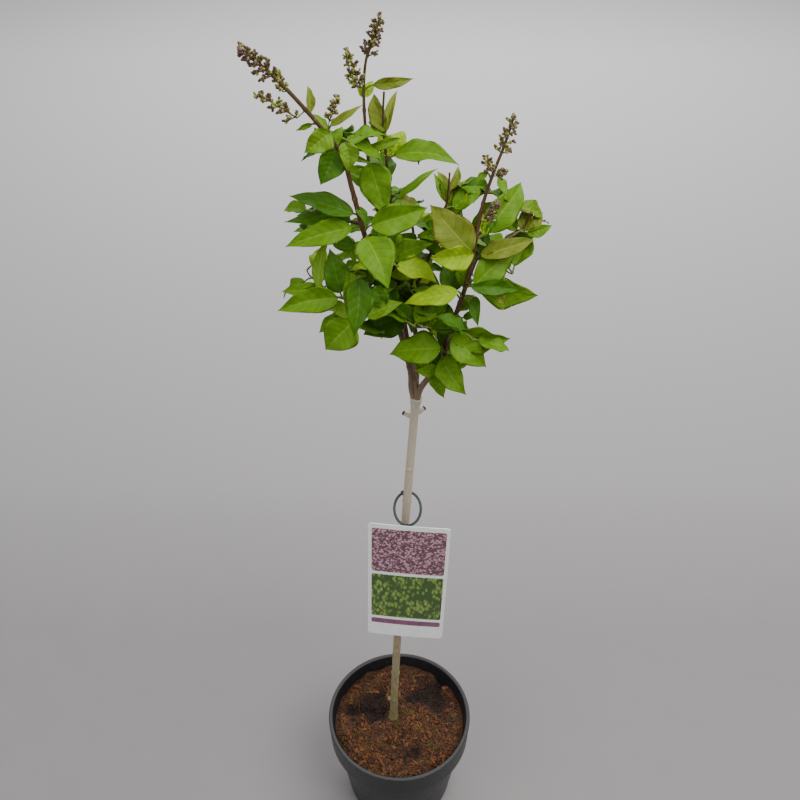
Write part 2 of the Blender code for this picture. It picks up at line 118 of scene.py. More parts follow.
def patterned(name, dark, light, grain, rough, stretch=(1, 1, 1), spread=(0.32, 0.68), bump=0.3,
              depth=0.15, climb=None, spots=None, axis=2):
    # colour = dark..light by a noise of grain mm, tinted by height and by spots of their own grain
    material, tree, shader = newMaterial(name)
    place = addNode(tree, "ShaderNodeTexCoord").outputs["Object"]
    laid = addNode(tree, "ShaderNodeMapping", {}, {0: place, 3: stretch}).outputs[0]
    noise = addNode(tree, "ShaderNodeTexNoise", {},
                    {"Vector": laid, "Scale": 1 / (grain * mm), "Detail": 6.0})
    base = between(tree, colour(dark), colour(light), ranged(tree, noise.outputs[0], *spread))
    if climb:
        height = addNode(tree, "ShaderNodeSeparateXYZ", {}, {0: place}).outputs[axis]
        for start, end, tint in climb:
            base = between(tree, base, colour(tint), ranged(tree, height, start, end, 0.0, 0.72))
    if spots:
        cells = addNode(tree, "ShaderNodeTexVoronoi", {},
                        {"Vector": laid, "Scale": 1 / (spots["grain"] * mm)})
        base = between(tree, base, colour(spots["tint"]), ranged(tree, cells.outputs[0], spots["size"], 0.05))
    tree.links.new(base, shader.inputs["Base Color"])
    roughAround = ranged(tree, noise.outputs[0], 0.3, 0.7, rough - 0.08, rough + 0.08)
    tree.links.new(roughAround, shader.inputs["Roughness"])
    raised = {"Strength": bump, "Distance": depth * mm, "Height": noise.outputs[0]}
    tree.links.new(addNode(tree, "ShaderNodeBump", {}, raised).outputs[0], shader.inputs["Normal"])
    return material


veins = dict(pairs=7, slope=0.20, bend=1.15)


def leafMaterial(name, blade, vein, rough, edge=None):
    # living leaf: side veins at whole values of pairs*(v - slope*a^bend), a = |2u - 1|, darkened as painted
    # shade in their sunk grooves; a pale midrib
    material, tree, shader = newMaterial(name)
    flat = addNode(tree, "ShaderNodeUVMap", {"uv_map": "OFBake"}).outputs[0]
    split = addNode(tree, "ShaderNodeSeparateXYZ", {}, {0: flat})
    aside = sums(tree, "ABSOLUTE", sums(tree, "MULTIPLY_ADD", split.outputs[0], 2.0, -1.0))
    bent = sums(tree, "MULTIPLY", sums(tree, "POWER", aside, veins["bend"]), veins["slope"])
    phase = sums(tree, "MULTIPLY", sums(tree, "SUBTRACT", split.outputs[1], bent), float(veins["pairs"]))
    withinPeriod = sums(tree, "FRACT", sums(tree, "ADD", phase, 10.5))
    nearness = sums(tree, "ABSOLUTE", sums(tree, "SUBTRACT", withinPeriod, 0.5))
    side = ranged(tree, nearness, 0.0, 0.10, 0.42, 0.0)
    rib = ranged(tree, aside, 0.01, 0.045, 0.42, 0.0)
    mottle = addNode(tree, "ShaderNodeTexNoise", {}, {"Vector": flat, "Scale": 7.0, "Detail": 4.0}).outputs[0]
    cells = addNode(tree, "ShaderNodeTexVoronoi", {}, {"Vector": flat, "Scale": 34.0}).outputs[0]
    dark = tuple(0.78 * c for c in colour(blade)[:3]) + (1,)
    base = between(tree, dark, colour(blade), ranged(tree, mottle, 0.25, 0.7))
    base = between(tree, base, dark, ranged(tree, cells, 0.2, 0.9, 0.0, 0.25))
    if edge:
        base = between(tree, base, colour(edge), ranged(tree, aside, 0.7, 1.0, 0.0, 0.7))
    # painted shade: side veins darkened to half the dark tone, standing in for shade in their sunk grooves
    base = between(tree, base, tuple(0.5 * c for c in dark[:3]) + (1,), side)
    base = between(tree, base, colour(vein), rib)
    tree.links.new(base, shader.inputs["Base Color"])
    shader.inputs["Roughness"].default_value = rough
    shader.inputs["Specular IOR Level"].default_value = 0.22
    raised = {"Strength": 0.35, "Distance": 0.12 * mm, "Height": cells}
    tree.links.new(addNode(tree, "ShaderNodeBump", {}, raised).outputs[0], shader.inputs["Normal"])
    return material


def makePiece(name, parts, materials, stands=(), uvs=None, slots=None, smooth=True, stage=False):
    # one mesh from parts (points, face arrays), corner numbers counted on from part to part
    start = 0
    points = []
    faces = []
    for places, groups in parts:
        places = np.asarray(places).reshape(-1, 3)
        points.append(places)
        for group in groups:
            faces.extend((np.asarray(group) + start).tolist())
        start += len(places)
    mesh = bpy.data.meshes.new(name)
    mesh.from_pydata(np.vstack(points).tolist(), [], faces)
    for material in materials:
        mesh.materials.append(material)
    mesh.polygons.foreach_set("use_smooth", [smooth] * len(faces))
    if slots is not None:
        mesh.polygons.foreach_set("material_index", slots)
    if uvs is not None:
        mesh.uv_layers.new(name="OFBake").data.foreach_set("uv", uvs.ravel())
    piece = bpy.data.objects.new(name, mesh)
    bpy.context.scene.collection.objects.link(piece)
    if stage:
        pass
    else:
        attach(piece, "root")
    if stands:
        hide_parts(*stands)
    print(name, len(faces), "faces")
    return piece


def gridQuads(corners):
    # quads of a grid of corner numbers, facing (second axis) x (first axis)
    quads = [corners[:-1, :-1], corners[:-1, 1:], corners[1:, 1:], corners[1:, :-1]]
    return np.stack(quads, -1).reshape(-1, 4)


def slab(front, back):
    # closed body between two grids of places: front, back turned over, and the rim
    rows, columns = front.shape[:2]
    numbers = np.arange(rows * columns).reshape(rows, columns)
    rim = np.concatenate([numbers[0], numbers[1:, -1], numbers[-1, -2::-1], numbers[-2:0:-1, 0]])
    follow = np.roll(rim, -1)
    total = rows * columns
    side = np.stack([follow, rim, rim + total, follow + total], -1)
    return np.vstack([front.reshape(-1, 3), back.reshape(-1, 3)]), [
        gridQuads(numbers), gridQuads(numbers)[:, ::-1] + total, side
    ]


def turned(profile, segments):
    # a profile (radius, height) from axis to axis turned about z: (r cos a, r sin a, h)
    profile = np.array(profile)
    angle = np.linspace(0, 2 * math.pi, segments, endpoint=False)
    ring = profile[1:-1]
    places = np.stack([ring[:, :1] * np.cos(angle), ring[:, :1] * np.sin(angle),
                       np.repeat(ring[:, 1:], segments, 1)], -1).reshape(-1, 3)
    numbers = np.arange(len(ring) * segments).reshape(len(ring), segments)
    closed = np.hstack([numbers, numbers[:, :1]])
    ends = np.array([[0, 0, profile[0, 1]], [0, 0, profile[-1, 1]]])
    first = len(places)
    low = np.stack([np.full(segments, first), closed[0, 1:], closed[0, :-1]], -1)
    high = np.stack([np.full(segments, first + 1), closed[-1, :-1], closed[-1, 1:]], -1)
    return np.vstack([places, ends]), [gridQuads(closed), low, high]


def tube(path, radius, sides, relief=0.0):
    # ring = path + (radius + relief)*(side cos a + other sin a), closed by a flat end each
    tangent = unit(np.gradient(path, axis=0))
    chord = np.abs(path[-1] - path[0])
    helper = np.eye(3)[chord.argmin()]
    side = unit(np.cross(tangent, helper))
    other = np.cross(tangent, side)
    angle = np.linspace(0, 2 * math.pi, sides, endpoint=False)
    wide = (radius[:, None] + relief)[..., None] * np.ones((1, sides, 1))
    ring = path[:, None] + wide * (side[:, None] * np.cos(angle)[None, :, None]
                                   + other[:, None] * np.sin(angle)[None, :, None])
    numbers = np.arange(len(path) * sides).reshape(len(path), sides)
    closed = np.hstack([numbers, numbers[:, :1]])
    return ring, [gridQuads(closed), numbers[:1, ::-1], numbers[-1:]]


def rods(start, bend, end, thickStart, thickEnd, steps=7, sides=7):
    # many bent rods at once: (1-s)^2 start + 2s(1-s) bend + s^2 end
    start, bend, end = (np.atleast_2d(np.asarray(p, float))[:, None] for p in (start, bend, end))
    s = np.linspace(0, 1, steps)[None, :, None]
    path = (1 - s) ** 2 * start + 2 * s * (1 - s) * bend + s**2 * end
    tangent = unit(2 * (1 - s) * (bend - start) + 2 * s * (end - bend) + 1e-9)
    side = unit(np.cross(tangent, np.array([0.31, 0.87, 0.38])))
    other = np.cross(tangent, side)
    radius = (thickStart + (thickEnd - thickStart) * s)[..., None]
    angle = np.linspace(0, 2 * math.pi, sides, endpoint=False)[None, None, :, None]
    ring = path[:, :, None] + radius * (side[:, :, None] * np.cos(angle) + other[:, :, None] * np.sin(angle))
    count = len(ring)
    numbers = np.arange(steps * sides).reshape(steps, sides)
    closed = np.hstack([numbers, numbers[:, :1]])
    shift = np.arange(count)[:, None, None] * steps * sides
    quads = (gridQuads(closed)[None] + shift).reshape(-1, 4)
    foot = (numbers[None, 0, ::-1] + shift[:, 0]).reshape(count, sides)
    head = (numbers[None, -1] + shift[:, 0]).reshape(count, sides)
    return ring, [quads, foot, head]


def beads(middle, way, halfLength, halfWidth, rings=5, sides=6, blunt=0.0, jitter=0.0):
    # small ovals: middle - way*l*cos h + w*sin h*(1 + blunt*(-cos h))*(side cos a + other sin a)
    middle, way = np.atleast_2d(middle), unit(np.atleast_2d(way))
    halfLength = np.broadcast_to(halfLength, len(middle))[:, None, None, None]
    halfWidth = np.broadcast_to(halfWidth, len(middle))[:, None, None, None]
    side = unit(np.cross(way, np.array([0.23, 0.41, 0.88])))[:, None, None]
    other = np.cross(way, side[:, 0, 0])[:, None, None]
    h = np.linspace(0.35, math.pi - 0.35, rings)[None, :, None, None]
    a = np.linspace(0, 2 * math.pi, sides, endpoint=False)[None, None, :, None]
    wide = halfWidth * np.sin(h) * (1 - blunt * np.cos(h))
    if jitter:
        wide = wide * (1 + jitter * rng.standard_normal((len(middle), rings, sides, 1)))
    ring = middle[:, None, None] - way[:, None, None] * halfLength * np.cos(h) + wide * (
        side * np.cos(a) + other * np.sin(a)
    )
    numbers = np.arange(rings * sides).reshape(rings, sides)
    closed = np.hstack([numbers, numbers[:, :1]])
    shift = np.arange(len(middle))[:, None, None] * rings * sides
    quads = (gridQuads(closed)[None] + shift).reshape(-1, 4)
    foot = numbers[None, 0, ::-1] + shift[:, 0]
    head = numbers[None, -1] + shift[:, 0]
    return ring, [quads, foot, head]


def smoothPath(points, step):
    # Catmull-Rom: .5*(2b + (c-a)t + (2a-5b+4c-d)t^2 + (3b-a-3c+d)t^3), then even steps of length
    p = np.array([tuple(q) for q in points], float)
    p = np.vstack([2 * p[0] - p[1], p, 2 * p[-1] - p[-2]])
    t = np.linspace(0, 1, 24, endpoint=False)[None, :, None]
    a, b, c, d = p[:-3, None], p[1:-2, None], p[2:-1, None], p[3:, None]
    q = 0.5 * (2 * b + (c - a) * t + (2 * a - 5 * b + 4 * c - d) * t**2 + (3 * b - a - 3 * c + d) * t**3)
    q = np.vstack([q.reshape(-1, 3), p[-2]])
    run = np.concatenate([[0], np.cumsum(np.linalg.norm(np.diff(q, axis=0), axis=1))])
    even = np.linspace(0, run[-1], max(4, int(run[-1] / step) + 1))
    return np.stack([np.interp(even, run, q[:, k]) for k in range(3)], 1), even


def barkRelief(run, sides, ridge, warts):
    # radial height = ridge*(sum of slow sines round and along) + warts of Gauss shape
    angle = np.linspace(0, 2 * math.pi, sides, endpoint=False)[None, :]
    along = run[:, None]
    height = np.zeros((len(run), sides))
    for turns, wave in ((2, 95), (3, 61), (5, 140), (7, 230), (9, 420)):
        phase = rng.uniform(0, 2 * math.pi, 2)
        ripple = np.sin(turns * angle + phase[0] + 1.3 * np.sin(wave * along + phase[1]))
        height += ridge * ripple / turns**0.6
    for index in range(warts):
        where = rng.uniform(run[0], run[-1])
        turn = rng.uniform(0, 2 * math.pi)
        away = np.angle(np.exp(1j * (angle - turn)))
        height += 0.16 * mm * np.exp(-(((along - where) / (0.9 * mm)) ** 2) - (away / 0.22) ** 2)
    return height


def nodeSwelling(run, sides, spacing, rise):
    # opposite leaf scars: a low shelf every spacing, on two sides, turned a quarter each time
    angle = np.linspace(0, 2 * math.pi, sides, endpoint=False)[None, :]
    height = np.zeros((len(run), sides))
    for index in range(1, int(run[-1] / spacing)):
        where = (index + rng.uniform(-0.12, 0.12)) * spacing
        facing = np.cos(angle - index * math.pi / 2) ** 2
        height += rise * facing * np.exp(-(((run[:, None] - where) / (1.7 * mm)) ** 2))
    return height


# Stem: one woody shoot from the flat cut at soil level to the fork. Bark: smooth young lilac bark,
# olive-tan low down and paler grey-tan above, with fine ridges, pale pores and old leaf scars.
stem = dict(foot=(-0.0080, 0.0070, 0.1335), fork=(0.0165, 0.0100, 0.6900), bow=-0.0025, low=0.0050,
            high=0.0042, flare=0.0022, flareHeight=0.012, knuckle=0.0020, knuckleLength=0.016, sides=40)
barkMaterial = patterned("lilacBark", "85755a", "c2b294", 1.1, 0.62, stretch=(1, 1, 0.12), bump=0.5,
                         depth=0.2,
                         climb=[(0.42, 0.15, "75703c"), (0.30, 0.62, "cabfac")],
                         spots=dict(grain=3.2, size=0.16, tint="c9b994"))
foot, fork = np.array(stem["foot"]), np.array(stem["fork"])
share = np.linspace(0, 1, 560)
stemPath = foot + (fork - foot) * share[:, None]
stemPath[:, 0] += 4 * stem["bow"] * share * (1 - share)
stemRun = share * np.linalg.norm(fork - foot)
flareShare = np.exp(-stemRun / stem["flareHeight"])
stemRadius = stem["low"] + (stem["high"] - stem["low"]) * share + stem["flare"] * flareShare
nearFork = np.clip(1 - (stemRun[-1] - stemRun) / stem["knuckleLength"], 0, 1)
stemRadius = stemRadius + stem["knuckle"] * nearFork**1.5
stemRelief = barkRelief(stemRun, stem["sides"], 0.07 * mm, 90)
stemRelief += nodeSwelling(stemRun, stem["sides"], 0.052, 0.9 * mm)
stemRelief += (nearFork**2)[:, None] * barkRelief(stemRun, stem["sides"], 0.35 * mm, 12)
stemParts = [tube(stemPath, stemRadius, stem["sides"], stemRelief)]
stumps = (
    dict(height=0.176, turn=190, length=0.0085, radius=0.0026),
    dict(height=0.548, turn=115, length=0.0095, radius=0.0020),
    dict(height=0.664, turn=175, length=0.0095, radius=0.0024),
    dict(height=0.668, turn=20, length=0.0095, radius=0.0024),
)
stumpEnds = []
for stump in stumps:
    base = stemPath[np.abs(stemPath[:, 2] - stump["height"]).argmin()]
    turn = math.radians(stump["turn"])
    way = unit(np.array([math.cos(turn), math.sin(turn), 0.55]))
    spurLine = [base, base + way * 0.6 * stump["length"], base + way * (stump["length"] + 0.003)]
    path, run = smoothPath(spurLine, 0.4 * mm)
    wide = stump["radius"] * (1 - 0.25 * (run / run[-1]) ** 6)
    stemParts.append(tube(path, wide, 16, barkRelief(run, 16, 0.06 * mm, 3)))
    stumpEnds.append((path[-1] - way * 0.0004, way))
makePiece("prunedEnds", [beads(end, way, 1.2 * mm, 2.5 * mm, 7, 14, 0, 0.05) for end, way in stumpEnds],
          [patterned("prunedWood", "2c1d12", "5a4028", 1.0, 0.75, bump=0.5)])
makePiece("stemBark", stemParts, [barkMaterial], ["stem"])

# Limbs: each grows on from the fork, through its bough, to its own tip, always tapering.
limbs = {
    "left": dict(thick=(0.0032, 0.0024, 0.0012), points=(
        (0.0155, 0.0100, 0.684), (0.012, 0.010, 0.702), (0.010, 0.008, 0.729), (-0.006, 0.000, 0.802),
        (-0.019, -0.012, 0.852), (-0.027, -0.018, 0.877), (-0.036, -0.028, 0.924), (-0.042, -0.034, 0.953),
        (-0.055, -0.050, 0.981), (-0.073, -0.070, 1.013), (-0.085, -0.082, 1.031), (-0.096, -0.094, 1.046))),
    "middle": dict(thick=(0.0030, 0.0019, 0.0009), points=(
        (0.0165, 0.0095, 0.684), (0.017, 0.008, 0.701), (0.012, 0.012, 0.727), (0.001, 0.020, 0.795),
        (-0.011, 0.022, 0.854), (-0.021, 0.022, 0.896), (-0.025, 0.022, 0.927), (-0.027, 0.022, 0.962),
        (-0.027, 0.022, 0.987), (-0.024, 0.020, 1.010), (-0.015, 0.018, 1.034))),
    "leafy": dict(thick=(0.0018, 0.0014, 0.0008), points=(
        (0.001, 0.020, 0.795), (-0.003, 0.010, 0.861), (-0.007, 0.005, 0.904), (-0.010, 0.000, 0.938),
        (-0.012, -0.005, 0.970), (-0.011, -0.010, 0.992))),
    "right": dict(thick=(0.0032, 0.0022, 0.0010), points=(
        (0.0170, 0.0095, 0.684), (0.021, 0.006, 0.705), (0.033, -0.005, 0.734), (0.041, -0.015, 0.762),
        (0.049, -0.020, 0.804), (0.056, -0.025, 0.837), (0.061, -0.030, 0.877), (0.063, -0.030, 0.895),
        (0.066, -0.030, 0.916), (0.072, -0.030, 0.939), (0.079, -0.028, 0.960), (0.084, -0.025, 0.978))),
    "inner": dict(thick=(0.0019, 0.0015, 0.0008), points=(
        (0.001, 0.020, 0.795), (0.015, 0.020, 0.810), (0.027, 0.015, 0.844), (0.036, 0.010, 0.884),
        (0.040, 0.010, 0.897), (0.041, 0.010, 0.920))),
    "outer": dict(thick=(0.0018, 0.0014, 0.0008), points=(
        (0.057, -0.026, 0.842), (0.066, -0.015, 0.859), (0.076, -0.010, 0.862), (0.095, 0.000, 0.870),
        (0.105, 0.005, 0.876), (0.109, 0.005, 0.888))),
    "back": dict(thick=(0.0028, 0.0020, 0.0010), points=(
        (0.0165, 0.0110, 0.684), (0.017, 0.018, 0.705), (0.016, 0.032, 0.742), (0.012, 0.044, 0.790),
        (0.014, 0.052, 0.830), (0.010, 0.056, 0.868))),
    "leftTwig": dict(thick=(0.0015, 0.0011, 0.0007), points=(
        (-0.006, 0.000, 0.802), atPixel(372, 300, -0.018), atPixel(345, 299, -0.030),
         atPixel(322, 291, -0.034))),
    "frontTwig": dict(thick=(0.0015, 0.0011, 0.0007), points=(
        (-0.004, 0.001, 0.790), atPixel(386, 306, -0.016), atPixel(372, 300, -0.028),
         atPixel(358, 284, -0.036))),
    "lowTwig": dict(thick=(0.0014, 0.0011, 0.0008), points=(
        (0.040, -0.014, 0.760), atPixel(442, 357, -0.022), atPixel(440, 364, -0.026),
         atPixel(439, 371, -0.028))),
}
# Shoot bark: this year's wood, red-brown going to green near the tips, smooth with fine streaks.
shootMaterial = patterned("shootBark", "311b10", "70482a", 0.9, 0.48, stretch=(1, 1, 0.15), bump=0.4,
                          depth=0.12,
                          climb=[(0.74, 0.69, "8b7b5f"), (0.90, 1.0, "5a4a24")],
                          spots=dict(grain=2.6, size=0.13, tint="b89b70"))
limbLines = {}
limbParts = []


def growLimb(name, points, thick):
    # radius falls from thick[0] over thick[1] at two fifths to thick[2] at the tip
    path, run = smoothPath(points, 1.0 * mm)
    radius = np.interp(run / run[-1], (0, 0.4, 1), thick)
    relief = barkRelief(run, 20, 0.03 * mm, 10) + nodeSwelling(run, 20, 0.024, 0.45 * mm)
    limbLines[name] = path
    limbParts.append(tube(path, radius, 20, relief))
    limbParts.append(beads(path[-1], path[-1] - path[-3], 2.2 * thick[2], 1.15 * thick[2], 7, 10))


for limbName, limb in limbs.items():
    growLimb(limbName, limb["points"], limb["thick"])

# Leaves read off the photograph: foot and tip are pixels, wide is pixels across, front is millimetres
# towards the viewer. Each hangs by its stalk from the nearest limb.
bladeRows = []


def blade(foot, tip, wide, tone="fresh", front=0, fold=None, roll=None, arch=None):
    bladeRows.append(dict(foot=foot, tip=tip, wide=wide, tone=tone,
                          front=front, fold=fold, roll=roll, arch=arch))


# left shoot
blade(foot=(310, 113), tip=(308, 84), wide=9, tone="bronze")
blade(foot=(328, 130), tip=(312, 113), wide=7, tone="pale")
blade(foot=(330, 126), tip=(362, 104), wide=8, tone="bronze")
blade(foot=(312, 124), tip=(296, 131), wide=6)
blade(foot=(331, 132), tip=(305, 153), wide=25, tone="pale", front=6)
blade(foot=(335, 150), tip=(321, 185), wide=27, tone="deep", front=3)
blade(foot=(333, 147), tip=(343, 126), wide=12)
blade(foot=(345, 142), tip=(348, 172), wide=20, tone="pale", front=4)
blade(foot=(352, 157), tip=(371, 163), wide=6, tone="deep")
blade(foot=(354, 214), tip=(289, 194), wide=21, tone="deep", front=4)
blade(foot=(352, 227), tip=(285, 246), wide=25, front=8)
blade(foot=(352, 221), tip=(284, 221), wide=15, tone="deep", front=-5)
blade(foot=(357, 207), tip=(367, 224), wide=9, tone="deep")
blade(foot=(319, 290), tip=(328, 237), wide=13, tone="pale", front=4)
blade(foot=(340, 293), tip=(330, 249), wide=27, tone="deep")
blade(foot=(355, 246), tip=(329, 240), wide=16, tone="deep", front=-4)
blade(foot=(322, 290), tip=(281, 291), wide=15)
blade(foot=(338, 298), tip=(278, 311), wide=27, front=8, fold=34)
# middle shoots
blade(foot=(373, 85), tip=(414, 79), wide=12, tone="bronze")
blade(foot=(364, 97), tip=(374, 80), wide=11, tone="lime")
blade(foot=(364, 97), tip=(357, 84), wide=8, tone="lime")
blade(foot=(385, 132), tip=(372, 92), wide=18, tone="bronze", front=4)
blade(foot=(386, 132), tip=(397, 88), wide=9, tone="bronze")
blade(foot=(383, 135), tip=(368, 121), wide=9, tone="pale")
blade(foot=(392, 157), tip=(404, 129), wide=20, tone="lime")
blade(foot=(390, 156), tip=(379, 131), wide=18, tone="lime")
blade(foot=(394, 155), tip=(459, 162), wide=21, front=3)
blade(foot=(397, 199), tip=(438, 166), wide=8)
blade(foot=(400, 138), tip=(353, 152), wide=10, tone="pale", front=6)
blade(foot=(369, 163), tip=(385, 215), wide=34, front=22, fold=10)
blade(foot=(371, 226), tip=(429, 208), wide=31, front=12)
blade(foot=(376, 224), tip=(422, 215), wide=24, tone="deep", front=-4)
blade(foot=(366, 237), tip=(388, 287), wide=38, front=24, fold=14)
blade(foot=(379, 228), tip=(391, 269), wide=34, front=19, fold=12)
blade(foot=(400, 234), tip=(415, 264), wide=22, tone="deep", front=-8)
blade(foot=(391, 276), tip=(424, 260), wide=16, tone="lime", front=12)
blade(foot=(453, 240), tip=(417, 237), wide=31, front=2, fold=34)
blade(foot=(474, 254), tip=(430, 259), wide=25, tone="lime", front=12)
blade(foot=(472, 252), tip=(430, 204), wide=37, tone="bronze", front=8, fold=12)
# inner shoot
blade(foot=(449, 203), tip=(438, 168), wide=11, tone="bronze")
blade(foot=(449, 204), tip=(434, 172), wide=10)
blade(foot=(450, 190), tip=(459, 165), wide=9, tone="bronze")
blade(foot=(453, 208), tip=(484, 185), wide=20)
blade(foot=(453, 214), tip=(466, 178), wide=21, tone="lime")
# right shoot
blade(foot=(488, 172), tip=(474, 184), wide=7)
blade(foot=(484, 232), tip=(525, 180), wide=30, front=-14)
blade(foot=(516, 231), tip=(503, 204), wide=15)
blade(foot=(484, 236), tip=(483, 212), wide=7, tone="lime")
blade(foot=(485, 236), tip=(489, 213), wide=7, tone="lime")
blade(foot=(486, 235), tip=(498, 214), wide=8, tone="deep")
blade(foot=(523, 231), tip=(531, 203), wide=15, tone="bronze")
blade(foot=(526, 231), tip=(543, 211), wide=13, tone="bronze")
blade(foot=(527, 234), tip=(553, 225), wide=12)
blade(foot=(480, 256), tip=(536, 238), wide=20, tone="bronze", front=6)
blade(foot=(474, 286), tip=(519, 250), wide=29, front=8, fold=14)
blade(foot=(478, 282), tip=(539, 297), wide=31, front=-4)
blade(foot=(471, 287), tip=(521, 291), wide=17, tone="deep", front=12)
blade(foot=(495, 289), tip=(506, 306), wide=11, tone="bronze", front=4)
blade(foot=(466, 289), tip=(463, 261), wide=16, front=-4)
blade(foot=(453, 292), tip=(447, 262), wide=25, tone="deep", front=-6)
blade(foot=(458, 292), tip=(402, 302), wide=21, tone="lime", front=20, fold=12)
blade(foot=(404, 286), tip=(401, 326), wide=20, front=6)
blade(foot=(424, 298), tip=(401, 326), wide=22, front=12)
blade(foot=(432, 298), tip=(433, 337), wide=20, tone="deep")
blade(foot=(420, 304), tip=(411, 333), wide=21, tone="deep")
blade(foot=(446, 353), tip=(436, 318), wide=11, front=4)
blade(foot=(450, 326), tip=(438, 296), wide=14)
blade(foot=(448, 350), tip=(445, 322), wide=8, tone="deep")
blade(foot=(461, 311), tip=(473, 293), wide=13, tone="pale")
blade(foot=(475, 296), tip=(478, 326), wide=12, tone="deep")
blade(foot=(463, 318), tip=(477, 312), wide=8, tone="deep")
blade(foot=(456, 334), tip=(467, 320), wide=11, tone="pale")
blade(foot=(451, 335), tip=(511, 341), wide=26, front=18)
blade(foot=(451, 338), tip=(487, 367), wide=30, front=20)
blade(foot=(449, 354), tip=(476, 358), wide=9, tone="deep")
# low front
blade(foot=(441, 358), tip=(464, 395), wide=27, front=4)
blade(foot=(440, 370), tip=(443, 399), wide=16)
blade(foot=(439, 371), tip=(415, 371), wide=14, front=2)
blade(foot=(441, 348), tip=(388, 352), wide=33, front=22, fold=12)
blade(foot=(353, 322), tip=(325, 350), wide=38, front=14)
blade(foot=(360, 278), tip=(354, 336), wide=27, tone="deep", front=16)
blade(foot=(352, 272), tip=(346, 313), wide=15, front=8)
blade(foot=(402, 316), tip=(364, 334), wide=38, tone="deep", front=18, fold=10)
blade(foot=(378, 291), tip=(376, 314), wide=7, tone="pale", front=8)
blade(foot=(386, 280), tip=(396, 312), wide=24, tone="deep")
blade(foot=(375, 286), tip=(386, 310), wide=22, tone="deep")

leafRows = []
stalkRows = []
tones = ("fresh", "deep", "lime", "bronze", "pale")
lineNames = list(limbLines)
linePoints = np.vstack([limbLines[n] for n in lineNames])
linePixels = toPixel(linePoints)
lineFirst = np.zeros(len(linePoints), int)
counted = 0
for lineName in lineNames:
    lineFirst[counted : counted + len(limbLines[lineName])] = counted
    counted += len(limbLines[lineName])


def addLeaf(root, foot, tip, face, width, tone, fold, arch):
    # one leaf and its stalk: a bent rod from the limb to the leaf's foot
    leafRows.append(dict(foot=foot, tip=tip, face=face, width=width, tone=tone, fold=fold, arch=arch))
    lift = np.array([0, 0, 0.25 * np.linalg.norm(foot - root)])
    stalkRows.append((root, (root + foot) / 2 + lift, foot + 0.06 * (tip - foot)))


for row in bladeRows:
    u, v = row["foot"]
    nearest = np.linalg.norm(linePixels - np.array([u, v + 2]), axis=1).argmin()
    root = linePoints[max(lineFirst[nearest], nearest - 3)]
    foot = atPixel(u, v, linePoints[nearest, 1] - row["front"] * mm)
    scale = (foot - eye) @ ahead / camera["focal"]
    across, down = np.array(row["tip"]) - np.array(row["foot"])
    flat = scale * (np.array([across, 0, 0]) - aloft * down)
    length = np.linalg.norm(flat)
    tipDepth = (foot + flat + ahead * length * rng.normal(0.02, 0.16))[1]
    tip = atPixel(*row["tip"], tipDepth)
    axis = unit(tip - foot)
    toEye = eye - foot
    toEye = unit(toEye - axis * (toEye @ axis))
    roll = rng.normal(0, 14) if row["roll"] is None else row["roll"]
    fold = rng.uniform(12, 26) if row["fold"] is None else row["fold"]
    arch = rng.uniform(0.03, 0.09) if row["arch"] is None else row["arch"]
    turn = math.radians(roll)
    face = toEye * math.cos(turn) + np.cross(axis, toEye) * math.sin(turn)
    width = row["wide"] * scale / (math.cos(turn) * math.cos(math.radians(fold)))
    addLeaf(root, foot, tip, face, width, row["tone"], fold, arch)

# The branching rule fills each mass of the CAD from within: a twig from the nearest limb to the
# middle of the mass, pairs of leaves along it, each pair turned a quarter on from the one below.
masses = {
    "foliage_back_left": 9, "foliage_back_low": 9, "foliage_back_middle": 10, "foliage_back_right": 9,
    "foliage_centre": 4, "foliage_far_right": 3, "foliage_front_left": 4, "foliage_front_middle": 4,
    "foliage_heart": 8, "foliage_high_leaves": 1, "foliage_low_left": 4, "foliage_low_right": 1,
    "foliage_middle_left": 4, "foliage_middle_right": 4, "foliage_top_left": 4, "foliage_top_middle": 2,
    "foliage_top_right": 2, "foliage_tuft": 2, "foliage_upper_middle": 4, "foliage_upper_right": 5,
    "foliage_upper_shoot": 2,
}
guide = np.vstack([[v.co[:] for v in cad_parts[name].data.vertices] for name in masses])
guidePixels = toPixel(guide)
# Places where the photograph shows the wall between the leaves: pixel and radius in pixels.
gaps = [dict(at=at, size=size) for at, size in (
    ((349, 258), 6), ((338, 295), 5), ((358, 237), 5), ((354, 224), 4), ((364, 224), 4), ((363, 200), 9),
    ((345, 188), 6), ((400, 175), 9), ((415, 190), 9), ((430, 190), 12), ((425, 178), 8), ((408, 230), 6),
    ((430, 213), 6), ((421, 244), 5), ((423, 254), 4), ((360, 155), 6), ((378, 152), 6), ((435, 125), 18),
    ((425, 100), 18), ((406, 331), 5), ((421, 309), 3), ((434, 273), 4), ((472, 210), 7), ((497, 233), 6),
    ((520, 216), 5), ((466, 316), 3), ((475, 325), 4), ((418, 128), 10), ((541, 193), 10),
    ((549, 207), 5), ((456, 154), 8), ((466, 161), 6), ((325, 188), 7),
    ((338, 190), 5), ((300, 266), 10), ((402, 69), 7), ((528, 262), 9), ((340, 210), 4),
    ((350, 120), 10), ((340, 100), 12),
)]


def fits(points, slack):
    # kept when every point lies by the masses' outline, off the gaps, and by the masses in space
    pixels = toPixel(points)
    flat = np.linalg.norm(pixels[:, None] - guidePixels[None], axis=2).min(1)
    deep = np.linalg.norm(points[:, None] - guide[None], axis=2).min(1)
    if flat.max() > slack or deep.max() > 0.026:
        return False
    return not any((np.linalg.norm(pixels - np.array(g["at"]), axis=1) < g["size"] + 2).any() for g in gaps)


